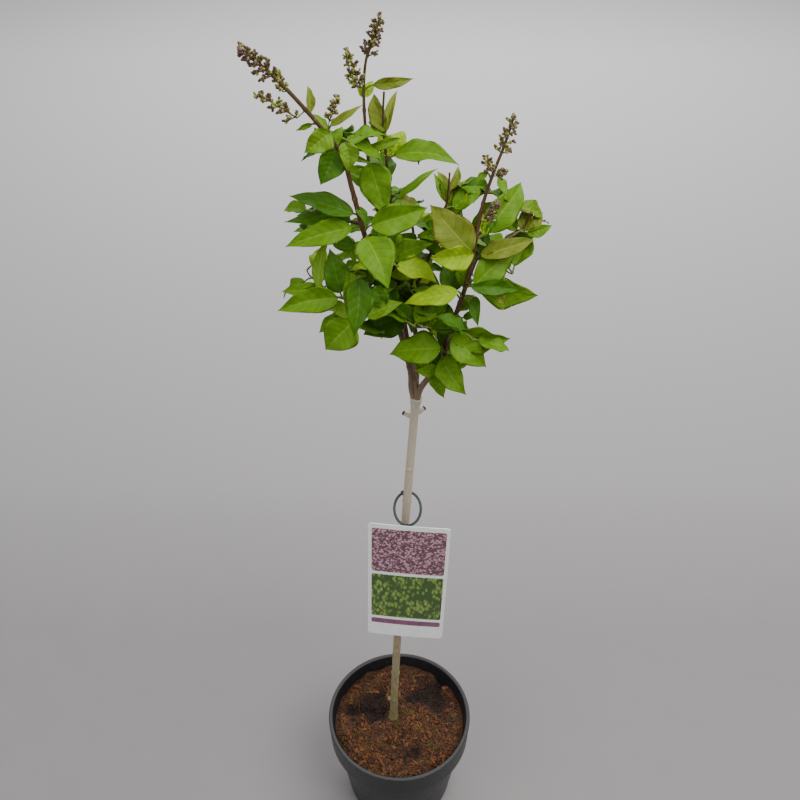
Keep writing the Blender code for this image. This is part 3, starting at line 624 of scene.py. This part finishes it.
for massName, pairs in masses.items():
    low, high = (np.array(corner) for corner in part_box(massName))
    middle = (low + high) / 2
    span = high - low
    away = np.linalg.norm(linePoints - middle, axis=1) + 0.4 * np.abs(linePoints[:, 2] - middle[2] + 0.02)
    start = linePoints[away.argmin()]
    heading = unit(middle - start + np.array([0, 0.004, 0.01]))
    end = middle + heading * np.array([0.22, 0.22, 0.16]) * span
    bend = (start + middle) / 2 + np.array([0, 0.008, -0.004])
    twig = [start, bend, middle, end]
    line = smoothPath(twig, 1.0 * mm)[0]
    last = 0
    back = massName.startswith("foliage_back") or massName == "foliage_heart"
    for index in range(pairs):
        step = int((0.2 + 0.8 * (index + 0.5) / pairs) * (len(line) - 1))
        node = line[step]
        for half in (0, 1):
            for attempt in range(9):
                turn = math.radians(90 * index + 180 * half + rng.normal(0, 30))
                rise = math.radians(rng.uniform(-35, 45))
                way = np.array([math.cos(rise) * math.cos(turn), math.cos(rise) * math.sin(turn),
                               math.sin(rise)])
                if not back and way[1] < -0.1:
                    way[1] = -way[1]
                length = rng.uniform(0.028, 0.046) * (1 - 0.05 * attempt)
                foot = node + way * rng.uniform(0.004, 0.009)
                tip = foot + way * length + np.array([0, 0, -0.10 * length])
                face = np.array([0.2 * way[0], 0.2 * way[1] - 0.35, 1.0]) + rng.normal(0, 0.25, 3)
                side = unit(np.cross(tip - foot, face))
                width = length * rng.uniform(0.46, 0.60)
                rim = np.array([foot, tip, (foot + tip) / 2 + side * width / 2,
                               (foot + tip) / 2 - side * width / 2])
                if fits(rim, 8):
                    # painted shade: two in five of these inner leaves take the deep tone, the darker copy of
                    # the green for shaded leaves
                    tone = tones[rng.choice(5, p=(0.38, 0.40, 0.08, 0.04, 0.10))]
                    axis = unit(tip - foot)
                    face = unit(face - axis * (face @ axis))
                    addLeaf(node, foot, tip, face, width, tone, rng.uniform(10, 28), rng.uniform(0.03, 0.12))
                    last = step
                    break
    if last > 3:
        growLimb("twig" + massName[7:], line[: last + 1 : 3], (0.0013, 0.0010, 0.0006))
print("leaves", len(leafRows))
makePiece("limbBark", limbParts, [shootMaterial], [
    "bough_back", "bough_front", "bough_left", "bough_right", "shoot_left", "shoot_middle",
    "flower_shoot_left", "flower_shoot_right"])

leafShape = dict(rise=0.70, fall=1.16, thick=0.42 * mm, along=31, across=11)


def leafPart(rows):
    # place = foot + axis*L*s + side*t*half*cos(fold) + face*(lift + |t|*half*sin(fold) + waves + veins)
    # with half = width/2 * s^rise * (1-s)^fall / its greatest value
    count = len(rows)
    foot, tip, face = (np.array([r[k] for r in rows])[:, None, None] for k in ("foot", "tip", "face"))
    width = np.array([r["width"] for r in rows])[:, None, None]
    fold = np.radians([r["fold"] for r in rows])[:, None, None]
    arch = np.array([r["arch"] for r in rows])[:, None, None]
    length = np.linalg.norm(tip - foot, axis=-1)
    axis = unit(tip - foot)
    side = unit(np.cross(axis, face))
    s = np.linspace(0, 1, leafShape["along"])[None, :, None]
    t = np.linspace(-1, 1, leafShape["across"])[None, None, :]
    rise, fall = leafShape["rise"], leafShape["fall"]
    top = (rise / (rise + fall)) ** rise * (fall / (rise + fall)) ** fall
    draw = rng.uniform(0, 2 * math.pi, (count, 4))[:, :, None, None]
    nature = rng.normal(0, 1, (count, 4))[:, :, None, None]
    half = width / 2 * s**rise * (1 - s) ** fall / top
    half = half * (1 + 0.05 * np.sin(8 * s + draw[:, 0] + t)
                + 0.05 * nature[:, 1] * np.sign(t) * np.sin(math.pi * s))
    half = np.maximum(half, 0.35 * mm)
    bow = arch * length * 4 * s * (1 - s) - (0.07 + 0.06 * np.abs(nature[:, 0])) * length * s**5
    sway = 0.035 * nature[:, 1] * length * np.sin(math.pi * s)
    wave = 0.19 * half * t**2 * np.sin(13 * s + draw[:, 1] + 1.9 * (t > 0))
    cup = (1 + 0.25 * nature[:, 2]) * np.abs(t) ** 1.15
    phase = veins["pairs"] * (s - veins["slope"] * np.abs(t) ** veins["bend"])
    body = np.clip(half / (6 * mm), 0, 1)
    ribs = -0.62 * mm * body * (0.5 + 0.5 * np.cos(2 * math.pi * phase)) * (1 - t**4)
    ribs = ribs + 0.55 * mm * body * np.sin(17 * s + 3 * t + draw[:, 2]) * np.sin(4 * t + 5 * s + draw[:, 3])
    groove = -0.45 * mm * body * np.exp(-((t / 0.12) ** 2))
    turn = 0.20 * nature[:, 3] * (s - 0.3)
    outward = t * half * np.cos(fold * np.abs(t) ** 0.3) + sway
    upward = bow + cup * half * np.sin(fold) + wave + ribs + groove
    outwardTurned = outward * np.cos(turn) - (upward - bow) * np.sin(turn)
    upwardTurned = outward * np.sin(turn) + (upward - bow) * np.cos(turn) + bow
    upper = foot + axis * (length * s * (1 + 0 * t))[..., None] + side * outwardTurned[..., None]
    upper = upper + face * upwardTurned[..., None]
    skin = leafShape["thick"] * (1 - t**6) + 0.35 * mm * body * np.exp(-((t / 0.10) ** 2)) * (1 - s)
    under = upper - face * (skin * np.ones_like(half))[..., None]
    lengthwise, columns = leafShape["along"], leafShape["across"]
    places = np.concatenate([upper.reshape(count, -1, 3), under[:, 1:-1, 1:-1].reshape(count, -1, 3)], 1)
    topNumbers = np.arange(lengthwise * columns).reshape(lengthwise, columns)
    lowNumbers = topNumbers.copy()
    inner = (lengthwise - 2) * (columns - 2)
    lowNumbers[1:-1, 1:-1] = lengthwise * columns + np.arange(inner).reshape(lengthwise - 2, columns - 2)
    quads = np.vstack([gridQuads(topNumbers), gridQuads(lowNumbers)[:, ::-1]])
    flatU, flatV = np.meshgrid(0.02 + 0.48 * (t[0, 0] + 1), 0.02 + 0.96 * s[0, :, 0])
    flat = np.stack([flatU, flatV], -1)
    single = np.vstack([flat.reshape(-1, 2), flat[1:-1, 1:-1].reshape(-1, 2)])
    stride = places.shape[1]
    faces = (quads[None] + np.arange(count)[:, None, None] * stride).reshape(-1, 4)
    uvs = np.tile(single[quads.ravel()], (count, 1))
    slots = np.tile(np.repeat([0, 1], len(quads) // 2), count)
    return (places.reshape(-1, 3), [faces]), uvs, slots


# Leaf tones: living lilac leaves, matt with sunk veins; the underside is paler and greyer. The deep tone is
# painted shade: a darker copy of the green for leaves in the shade of the crown.
leafTones = {
    "fresh": dict(blade="638e05", vein="93b53a", under="86a342", slot="leaf"),
    "deep": dict(blade="477408", vein="6f9430", under="6d8a3a", slot="leaf"),
    "lime": dict(blade="98bb0c", vein="bccf4c", under="a0b846", slot="leaf"),
    "pale": dict(blade="6e9418", vein="a2bd52", under="90aa50", slot="leaf"),
    "bronze": dict(blade="768520", vein="a8a650", under="94a048", slot="young_leaf"),
}
youngNodes = ["foliage_upper_shoot", "foliage_far_right"]
leafNodes = [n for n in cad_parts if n.startswith("foliage_") and n not in youngNodes]
for toneName, tone in leafTones.items():
    rows = [r for r in leafRows if r["tone"] == toneName]
    part, uvs, slots = leafPart(rows)
    edge = "80702c" if toneName == "bronze" else None
    skins = [leafMaterial("leaf" + toneName.title(), tone["blade"], tone["vein"], 0.56, edge),
             leafMaterial("underside" + toneName.title(), tone["under"], tone["vein"], 0.68)]
    stands = youngNodes if toneName == "bronze" else leafNodes if toneName == "fresh" else ()
    makePiece("leaves" + toneName.title(), [part], skins, stands, uvs, slots)

# Leaf stalks: green flushed with brown, round and thin.
stalkMaterial = patterned("leafStalk", "4d5e16", "77892a", 1.5, 0.5, bump=0.2)
stalks = np.array(stalkRows)
makePiece("leafStalks", [rods(stalks[:, 0], stalks[:, 1], stalks[:, 2], 0.95 * mm, 0.65 * mm, 9, 8)],
          [stalkMaterial])

# Flower heads in tight bud: branchlets in opposite pairs, each ending in a few buds.
heads = {
    "flower_head_left": dict(foot=(-0.0820, -0.0790, 1.0260), tip=(-0.0975, -0.0965, 1.0490), spread=0.0088,
                             whorls=10, young=0.25),
    "flower_head_left_side": dict(foot=(-0.0700, -0.0630, 0.9930), tip=(-0.0925, -0.0830, 1.0165),
                                  spread=0.0078,
                                  whorls=9, young=0.60),
    "flower_head_middle": dict(foot=(-0.0235, 0.0210, 1.0080), tip=(-0.0140, 0.0172, 1.0390), spread=0.0080,
                               whorls=10, young=0.30),
    "flower_head_middle_side": dict(foot=(-0.0300, 0.0175, 0.9890), tip=(-0.0390, 0.0105, 1.0165),
                                    spread=0.0068,
                                    whorls=8, young=0.62),
    "flower_head_right": dict(foot=(0.0765, -0.0288, 0.9520), tip=(0.0848, -0.0250, 0.9800),
                              spread=0.0082, whorls=8,
                              young=0.35),
}
# smaller heads beside them, from the same nodes
heads["left_spur"] = dict(foot=atPixel(329, 122, -0.036), tip=atPixel(337, 97, -0.036),
                          spread=0.0040, whorls=6, young=0.6)
heads["left_low"] = dict(foot=atPixel(283, 92, -0.070), tip=atPixel(276, 72, -0.076),
                         spread=0.0045, whorls=5, young=0.7)
heads["right_low"] = dict(foot=atPixel(492, 172, -0.030), tip=atPixel(486, 158, -0.032),
                          spread=0.0050, whorls=4, young=0.5)
heads["right_back"] = dict(foot=atPixel(496, 176, -0.028), tip=atPixel(504, 171, -0.024),
                           spread=0.0045, whorls=4, young=0.5)
heads["middle_low"] = dict(foot=atPixel(360, 88, 0.018), tip=atPixel(349, 74, 0.014),
                           spread=0.0050, whorls=5, young=0.7)
heads["inner_bud"] = dict(foot=atPixel(487, 222, -0.030), tip=atPixel(497, 203, -0.032),
                          spread=0.0045, whorls=6, young=0.1)
budPlaces, budWays, calyxPlaces, calyxWays, greenPlaces, greenWays, branchRows = ([] for _ in range(7))
for head in heads.values():
    foot, tip = np.array(head["foot"]), np.array(head["tip"])
    axis = unit(tip - foot)
    side = unit(np.cross(axis, (0, 1, 0)))
    other = np.cross(axis, side)
    base = linePoints[np.linalg.norm(linePoints - foot, axis=1).argmin()]
    branchRows.append((base, (base + foot) / 2, foot))
    branchRows.append((foot, (foot + tip) / 2, tip))
    for index in range(head["whorls"]):
        share = (index + 0.4) / head["whorls"]
        for half in (0, 1):
            turn = index * math.pi / 2 + half * math.pi + rng.normal(0, 0.3)
            way = unit(side * math.cos(turn) + other * math.sin(turn) + 0.75 * axis)
            start = foot + (tip - foot) * share
            end = start + way * head["spread"] * (1 - 0.65 * share) * rng.uniform(0.75, 1.0)
            branchRows.append((start, (start + end) / 2 - 0.0004 * axis, end))
            for bud in range(7):
                lean = unit(way + rng.normal(0, 0.60, 3))
                hold = start + (end - start) * (0.35 + 0.65 * bud / 6)
                place = hold + lean * 0.0017
                branchRows.append((hold, hold + lean * 0.0006, hold + lean * 0.0012))
                if rng.random() < head["young"]:
                    greenPlaces.append(place)
                    greenWays.append(lean)
                else:
                    budPlaces.append(place)
                    budWays.append(lean)
                    calyxPlaces.append(hold + lean * 0.0006)
                    calyxWays.append(lean)
# Buds: waxy, wine-dark where they are near opening and yellow-green where they are young.
budMaterial = patterned("lilacBud", "452a2c", "7a564a", 1.2, 0.42, bump=0.15)
youngBudMaterial = patterned("youngBud", "707c28", "a3ab4a", 1.2, 0.45, bump=0.15)
makePiece("budsPurple", [beads(np.array(budPlaces), np.array(budWays), 1.6 * mm, 0.95 * mm, 6, 7, 0.25)],
          [budMaterial], [n for n in heads if n.startswith("flower_head")])
makePiece("budsGreen", [
    beads(np.array(greenPlaces), np.array(greenWays), 1.35 * mm, 0.90 * mm, 6, 7, 0.2),
    beads(np.array(calyxPlaces), np.array(calyxWays), 0.8 * mm, 0.85 * mm, 5, 7)], [youngBudMaterial])
branches = np.array(branchRows)
makePiece("budStalks", [rods(branches[:, 0], branches[:, 1], branches[:, 2], 0.55 * mm, 0.38 * mm, 4, 6)],
          [patterned("budStalk", "4a2a20", "7c6a34", 1.4, 0.5, bump=0.2)])

# Pot: 19 cm nursery pot, thin blow-moulded dark grey plastic, scuffed, with a flat collar.
potShape = dict(base=0.072, bodyTop=0.0865, mouth=0.0898, rim=0.095, collarFoot=0.0935, height=0.155,
                collar=0.118, wall=0.0014, floor=0.0025)
p = potShape
wallSteps = [(p["base"] + (p["bodyTop"] - p["base"]) * k / 12 - (0.0002 if k % 4 == 2 else 0),
              0.002 + (p["collar"] - 0.002) * k / 12) for k in range(13)]
profile = [(0, 0), (p["base"] - 0.002, 0), (p["base"] - 0.0007, 0.0005), *wallSteps,
           (p["mouth"] + p["wall"], p["height"] - p["wall"] - 0.002),
            (p["mouth"] + 0.0020, p["height"] - p["wall"]),
           (p["rim"] - p["wall"] - 0.0005, p["height"] - p["wall"]),
            (p["rim"] - p["wall"], p["height"] - p["wall"] - 0.0006),
           (p["collarFoot"] - p["wall"], p["collar"] + 0.0003),
            (p["collarFoot"] - p["wall"] + 0.0002, p["collar"]),
           (p["collarFoot"] - 0.0002, p["collar"]), (p["collarFoot"], p["collar"] + 0.0003),
           (p["collarFoot"] + 0.0003, p["collar"] + 0.006), (p["rim"] - 0.0006, p["height"] - 0.0045),
           (p["rim"] - 0.0001, p["height"] - 0.0040), (p["rim"], p["height"] - 0.0008),
           (p["rim"] - 0.0003, p["height"] - 0.0002), (p["rim"] - 0.0009, p["height"]),
           (p["mouth"] + 0.0010, p["height"] - 0.0003), (p["mouth"] + 0.0002, p["height"] - 0.0006),
           (p["mouth"], p["height"] - 0.0014), (0.0874, 0.136), (0.0851, 0.118),
            (0.0780, 0.060), (0.0706, p["floor"] + 0.002),
           (0.0700, p["floor"]), (0, p["floor"])]


def eased(points, near):
    # each long stretch of the profile gets a point close to either end, so that corners stay crisp
    rows = [points[0]]
    for first, second in zip(points, points[1:]):
        a, b = np.array(first), np.array(second)
        length = np.linalg.norm(b - a)
        if length > 4 * near:
            rows.append(tuple(a + (b - a) * near / length))
            rows.append(tuple(b - (b - a) * near / length))
        rows.append(second)
    return rows


potMaterial = patterned("greyPotPlastic", "151516", "252527", 2.2, 0.42, stretch=(1, 1, 0.5), bump=0.25,
                        depth=0.05,
                        spots=dict(grain=5.0, size=0.10, tint="4c4b49"))
pot = makePiece("potBody", [turned(eased(profile, 0.0007), 144)], [potMaterial], ["pot"])
holes = dict(count=8, circle=0.056, radius=0.0045)
angle = 2 * math.pi * (np.arange(holes["count"]) + 0.5) / holes["count"]
drillParts = []
for turn in angle:
    places, groups = turned([(0, -0.01), (holes["radius"], -0.01), (holes["radius"], 0.01), (0, 0.01)], 28)
    drillParts.append((places + holes["circle"] * np.array([math.cos(turn), math.sin(turn), 0]), groups))
drill = makePiece("drill", drillParts, [potMaterial], smooth=False)
cut = pot.modifiers.new("holes", "BOOLEAN")
cut.operation = "DIFFERENCE"
cut.object = drill
bpy.context.view_layer.update()
pot.data = bpy.data.meshes.new_from_object(pot.evaluated_get(bpy.context.evaluated_depsgraph_get()))
pot.modifiers.clear()
bpy.data.objects.remove(drill)

# Soil: coir and bark compost, reddish brown, rough, shrunk into hollows, with chips, fibres and moss.
soil = dict(level=0.136, swell=0.0035, flat=0.010, floor=0.0031, inset=0.0006)
dips = (dict(at=(-0.038, 0.026), radius=0.034, depth=0.017),
        dict(at=(0.046, 0.044), radius=0.034, depth=0.018),
        dict(at=(0.020, -0.044), radius=0.013, depth=0.007))
lumps = rng.uniform(-0.088, 0.088, (420, 2))
lumpHeights = rng.normal(0, 1.5, 420) * mm
lumpSizes = rng.uniform(2.5, 8.0, 420) * mm


def soilHeight(x, y):
    # level + swell*(sines) - dips + lumps of Gauss shape, smoothed out where the stem stands
    height = soil["swell"] * (np.sin(62 * x + 1.1) * np.cos(71 * y - 0.4) - 0.25)
    for dip in dips:
        away, over = x - dip["at"][0], y - dip["at"][1]
        around = np.arctan2(over, away)
        ragged = 1 + 0.4 * np.sin(3 * around + 1) + 0.3 * np.sin(5 * around)
        off = (away**2 + over**2) / dip["radius"] ** 2 * ragged
        height = height - dip["depth"] * np.clip(1 - off, 0, 1) ** 2
    for (lx, ly), rise, wide in zip(lumps, lumpHeights, lumpSizes):
        height = height + rise * np.exp(-((x - lx) ** 2 + (y - ly) ** 2) / wide**2)
    fromStem = np.hypot(x - stem["foot"][0], y - stem["foot"][1])
    return soil["level"] + height * np.clip((fromStem - 0.004) / soil["flat"], 0, 1)


rings, spokes = 110, 240
radius = np.linspace(0.0004, 1, rings)[:, None] * 0.0872
turn = np.linspace(0, 2 * math.pi, spokes, endpoint=False)[None, :]
x, y = radius * np.cos(turn), radius * np.sin(turn)
surface = np.stack([x, y, soilHeight(x, y)], -1)
sink = np.stack([0.0698 * np.cos(turn[0]), 0.0698 * np.sin(turn[0]), np.full(spokes, soil["floor"])], -1)
places = np.vstack([surface.reshape(-1, 3), sink])
numbers = np.arange(rings * spokes + spokes).reshape(rings + 1, spokes)
closed = np.hstack([numbers, numbers[:, :1]])
# painted shade: below the level the compost darkens to near black, in the hollows under the plant
soilMaterial = patterned("coirCompost", "120a05", "532f14", 1.6, 0.85, spread=(0.35, 0.62), bump=0.9,
                         depth=1.0,
                         climb=[(0.1335, 0.1260, "050302")], spots=dict(grain=3.4, size=0.22, tint="6e4420"))
makePiece("soilBed", [(places, [gridQuads(closed)[:, ::-1], numbers[:1], numbers[-1:, ::-1]])],
          [soilMaterial],
          ["potting_soil"])


def scattered(count, reach, lowest=0.1285):
    # even spread over the pot's mouth: radius = reach*sqrt(random)
    far, around = reach * np.sqrt(rng.random(count)), rng.uniform(0, 2 * math.pi, count)
    px, py = far * np.cos(around), far * np.sin(around)
    keep = (np.hypot(px - stem["foot"][0], py - stem["foot"][1]) > 0.009) & (
        soilHeight(px, py) > lowest + 0.006 * rng.random(count))
    return np.stack([px, py, soilHeight(px, py)], -1)[keep]


at = scattered(1700, 0.0845, 0.0)
ways = rng.normal(0, 1, (len(at), 3))
sizes = rng.uniform(0.6, 2.0, len(at)) * mm
crumbs = beads(at + np.array([0, 0, 0.0005]), ways,
               sizes * rng.uniform(1.0, 1.8, len(at)), sizes, 4, 6, 0, 0.16)
# painted shade: the crumbs darken to near black low down, in the hollows
makePiece("soilCrumbs", [crumbs], [patterned("compostCrumbs", "1a0d06", "643713", 6.0, 0.85,
          bump=0.8, depth=0.5,
          climb=[(0.1345, 0.1270, "050302")])])
at = scattered(330, 0.082)
count = len(at)
lie = rng.uniform(0, 2 * math.pi, count)
tilt = rng.normal(0, 0.35, count)
longWay = np.stack([np.cos(lie) * np.cos(tilt), np.sin(lie) * np.cos(tilt), np.sin(tilt)], -1)
wideWay = unit(np.cross(longWay, np.array([0, 0, 1.0]) + rng.normal(0, 0.25, (count, 3))))
thickWay = np.cross(longWay, wideWay)
half = rng.uniform((1.6, 0.8, 0.35), (5.0, 2.2, 0.9), (count, 3)) * mm
corner = np.array([(a, b, c) for c in (-1, 1) for b in (-1, 1) for a in (-1, 1)], float)
corner = corner[None] * rng.uniform(0.6, 1.1, (count, 8, 3))
chips = at[:, None] + np.array([0, 0, 0.0012]) + (
    corner[..., :1] * (half[:, :1] * longWay)[:, None] + corner[..., 1:2] * (half[:, 1:2] * wideWay)[:, None]
    + corner[..., 2:] * (half[:, 2:] * thickWay)[:, None])
box = np.array([(0, 2, 3, 1), (4, 5, 7, 6), (0, 1, 5, 4), (2, 6, 7, 3), (0, 4, 6, 2), (1, 3, 7, 5)])
boxes = (box[None] + 8 * np.arange(count)[:, None, None]).reshape(-1, 4)
makePiece("barkChips", [(chips, [boxes])],
          [patterned("pineBarkChips", "2a1509", "7c4820", 5.0, 0.8, stretch=(1, 0.4, 1),
                     bump=0.7, depth=0.3)],
          smooth=False)
at = scattered(620, 0.082)
lie = rng.uniform(0, 2 * math.pi, len(at))
reach = (3 + 9 * rng.random(len(at)) ** 2)[:, None] * mm
way = np.stack([np.cos(lie), np.sin(lie), rng.normal(0, 0.15, len(at))], -1)
start, end = at - way * reach, at + way * reach
for ends in (start, end):
    ends[:, :2] *= np.minimum(1, 0.0845 / np.maximum(np.hypot(ends[:, 0], ends[:, 1]), 1e-6))[:, None]
    ends[:, 2] = soilHeight(ends[:, 0], ends[:, 1]) + 0.0006
drift = [rng.normal(0, 2.5, len(at)), rng.normal(0, 2.5, len(at)), rng.uniform(1, 5, len(at))]
bend = at + np.stack(drift, -1) * mm
makePiece("coirFibres", [rods(start, bend, end, 0.22 * mm, 0.12 * mm, 7, 5)],
          [patterned("coirFibre", "5c3515", "a8783e", 9.0, 0.75, bump=0.2)])
at = scattered(60, 0.082)
tufts = np.repeat(at, 26, 0) + rng.normal(0, 1, (len(at) * 26, 3)) * np.array([2.2, 2.2, 0.5]) * mm
tufts[:, 2] = np.maximum(tufts[:, 2], soilHeight(tufts[:, 0], tufts[:, 1]))
ways = rng.normal(0, 0.5, (len(tufts), 3)) + np.array([0, 0, 1])
makePiece("mossTufts", [beads(tufts, ways, 1.1 * mm, 0.35 * mm, 4, 5, -0.3)],
          [patterned("moss", "3c4a16", "7d8a34", 1.2, 0.8, bump=0.3)])

# Label: a hanging card of coated board with a plain printed design, florets above, leaves below.
card = dict(size=(0.089, 0.190, 0.0008), at=(0.0090, -0.0145, 0.4410),
            turn=(0, math.radians(1.3), math.radians(-5)),
            corner=0.0045, bow=0.0012)
cardTurn = np.array(Euler(card["turn"]).to_matrix())
wide, tall, thick = card["size"]


def cardPanel(low, high, left, right, corner, front, back, rows=40, columns=17):
    # rectangle between heights and sides as shares of the card, its corners rounded, bowed like the card
    z = tall * (np.linspace(low, high, rows) - 0.5)
    # the rows crowd towards the two ends, where the corners are
    share = 0.5 - 0.5 * np.cos(math.pi * np.linspace(0, 1, rows))
    z = z[0] + (z[-1] - z[0]) * share
    near = np.minimum(z - z[0], z[-1] - z)
    inset = corner - np.sqrt(np.clip(corner**2 - np.clip(corner - near, 0, corner) ** 2, 0, None))
    start, stop = wide * (left - 0.5) + inset, wide * (right - 0.5) - inset
    x = start[:, None] + (stop - start)[:, None] * np.linspace(0, 1, columns)[None]
    depth = -card["bow"] * (1 - (2 * x / wide) ** 2)
    sheets = []
    for level in (front, back):
        grid = np.stack([x, depth + level, np.repeat(z[:, None], columns, 1)], -1)
        sheets.append(grid @ cardTurn.T + np.array(card["at"]))
    return slab(*sheets)


cardMaterial = patterned("coatedBoard", "f0f0ee", "fdfdfb", 6.0, 0.35, bump=0.1, depth=0.03)
makePiece("labelBoard", [cardPanel(0, 1, 0, 1, card["corner"], -thick / 2, thick / 2)],
          [cardMaterial],
          ["label_card"], smooth=False)


def printed(name, ground, petal, heart, grain, stretch):
    # printed picture: cells of grain mm, each petal coloured with a heart in its middle, on a ground
    material, tree, shader = newMaterial(name)
    place = addNode(tree, "ShaderNodeTexCoord").outputs["Object"]
    laid = addNode(tree, "ShaderNodeMapping", {}, {0: place, 3: stretch}).outputs[0]
    cells = addNode(tree, "ShaderNodeTexVoronoi", {}, {"Vector": laid, "Scale": 1 / (grain * mm)})
    noise = addNode(tree, "ShaderNodeTexNoise", {},
                    {"Vector": laid, "Scale": 1 / (2.2 * grain * mm), "Detail": 3.0})
    base = between(tree, colour(petal), colour(ground), ranged(tree, cells.outputs[0], 0.42, 0.60))
    base = between(tree, colour(heart), base, ranged(tree, cells.outputs[0], 0.06, 0.20))
    base = between(tree, base, colour(ground), ranged(tree, noise.outputs[0], 0.50, 0.62))
    tree.links.new(base, shader.inputs["Base Color"])
    shader.inputs["Roughness"].default_value = 0.32
    return material


floretPrint = printed("floretPrint", "6b4450", "c99fac", "efdfe2", 2.6, (1, 1, 1))
leafPrint = printed("leafPrint", "3f5a26", "7f9a44", "c0cc92", 3.6, (1, 1, 0.5))
bandPrint = patterned("bandPrint", "7a4a66", "8f5c78", 5.0, 0.35, bump=0.05)
panels = {
    "labelFlorets": dict(low=0.60, high=0.965, material=floretPrint),
    "labelLeaves": dict(low=0.185, high=0.575, material=leafPrint),
    "labelBand": dict(low=0.115, high=0.160, material=bandPrint),
}
for panelName, panel in panels.items():
    faces = [cardPanel(panel["low"], panel["high"], 0.045, 0.955, 0.0025, level - 0.00008, level + 0.00008)
             for level in (-thick / 2, thick / 2)]
    makePiece(panelName, faces, [panel["material"]], smooth=False)

# Loop: soft green plastic-covered tie, one turn round the stem, down to the card's top edge.
loop = dict(middle=(0.0090, 0.00165, 0.5450), halfWidth=0.0142, halfDepth=0.01415,
            halfDrop=0.0110, wire=0.0014)
angle = np.linspace(0, 2 * math.pi, 96, endpoint=False)[:, None]
across, away = np.array([loop["halfWidth"], 0, 0]), np.array([0, loop["halfDepth"], loop["halfDrop"]])
ringPath = np.array(loop["middle"]) + across * np.sin(angle) + away * np.cos(angle)
normal = unit(np.cross(across, away))
tangent = unit(across * np.cos(angle) - away * np.sin(angle))
outward = np.cross(tangent, normal)
spin = np.linspace(0, 2 * math.pi, 14, endpoint=False)[None, :, None]
ringPlaces = ringPath[:, None] + loop["wire"] * (outward[:, None] * np.cos(spin) + normal * np.sin(spin))
numbers = np.arange(96 * 14).reshape(96, 14)
wrapped = np.vstack([np.hstack([numbers, numbers[:, :1]]), np.hstack([numbers, numbers[:, :1]])[:1]])
tieMaterial = patterned("greenTie", "1c2c20", "30463a", 3.0, 0.45, bump=0.1)
knot = beads(np.array(loop["middle"]) - away * 0.97, np.array([[1.0, 0, 0.1]]), 2.6 * mm, 1.5 * mm, 9, 14)
makePiece("labelTie", [(ringPlaces, [gridQuads(wrapped)]), knot], [tieMaterial], ["label_loop"])

# Stage: a wide floor of pale grey paper, with painted light making it lighter beyond the plant, standing in
# for a brighter-lit backdrop behind.
sheet = dict(front=-6.0, back=7.0, half=7.0, steps=15)
lineX = np.linspace(-sheet["half"], sheet["half"], sheet["steps"])
lineY = np.linspace(sheet["front"], sheet["back"], sheet["steps"])
sheetX, sheetY = np.meshgrid(lineX, lineY)
sheetPlaces = np.stack([sheetX, sheetY, 0 * sheetX - 0.0002], -1)
# painted light: the paper brightens along y to near white far off, standing in for the lit backdrop wall
paper = patterned("greyPaper", "8f8c8b", "938f8e", 60.0, 0.8, bump=0.0, axis=1,
                  climb=[(0.25, 0.60, "a8a5a4"), (0.5, 3.4, "fbf7f6")])
sheetNumbers = np.arange(sheet["steps"] ** 2).reshape(sheet["steps"], -1)
makePiece("floorPaper", [(sheetPlaces, [gridQuads(sheetNumbers)])], [paper], stage=True)

# Lights: one large soft light from the upper right, a weaker one from the left, and an even sky.
lights = {
    "keyLight": dict(at=(0.9, -0.5, 2.3), aim=(0, 0, 0.55), size=1.5, power=43),
    "fillLight": dict(at=(-1.5, -1.2, 1.7), aim=(0, 0, 0.55), size=2.0, power=18),
    "farLight": dict(at=(0.3, 2.8, 2.6), aim=(0.3, 2.81, 0), size=3.0, power=95),
}
for lightName, light in lights.items():
    data = bpy.data.lights.new(lightName, "AREA")
    data.size = light["size"]
    data.energy = light["power"]
    lamp = bpy.data.objects.new(lightName, data)
    lamp.visible_camera = False
    lamp.location = light["at"]
    aim = np.array(light["aim"]) - np.array(light["at"])
    heading = math.atan2(aim[1], aim[0]) - math.pi / 2
    lamp.rotation_euler = (math.acos(-aim[2] / np.linalg.norm(aim)), 0, heading)
    bpy.context.scene.collection.objects.link(lamp)
world = bpy.data.worlds.new("studio")
world.use_nodes = True
world.node_tree.nodes["Background"].inputs[0].default_value = colour("d8dade")
world.node_tree.nodes["Background"].inputs[1].default_value = 0.55
bpy.context.scene.world = world
lens = bpy.data.cameras.new("photoCamera")
lens.lens = camera["lens"]
view = bpy.data.objects.new("photoCamera", lens)
view.location = camera["eye"]
view.rotation_euler = (math.pi / 2 - camera["tilt"], 0, 0)
bpy.context.scene.collection.objects.link(view)
bpy.context.scene.camera = view

bpy.context.view_layer.update()
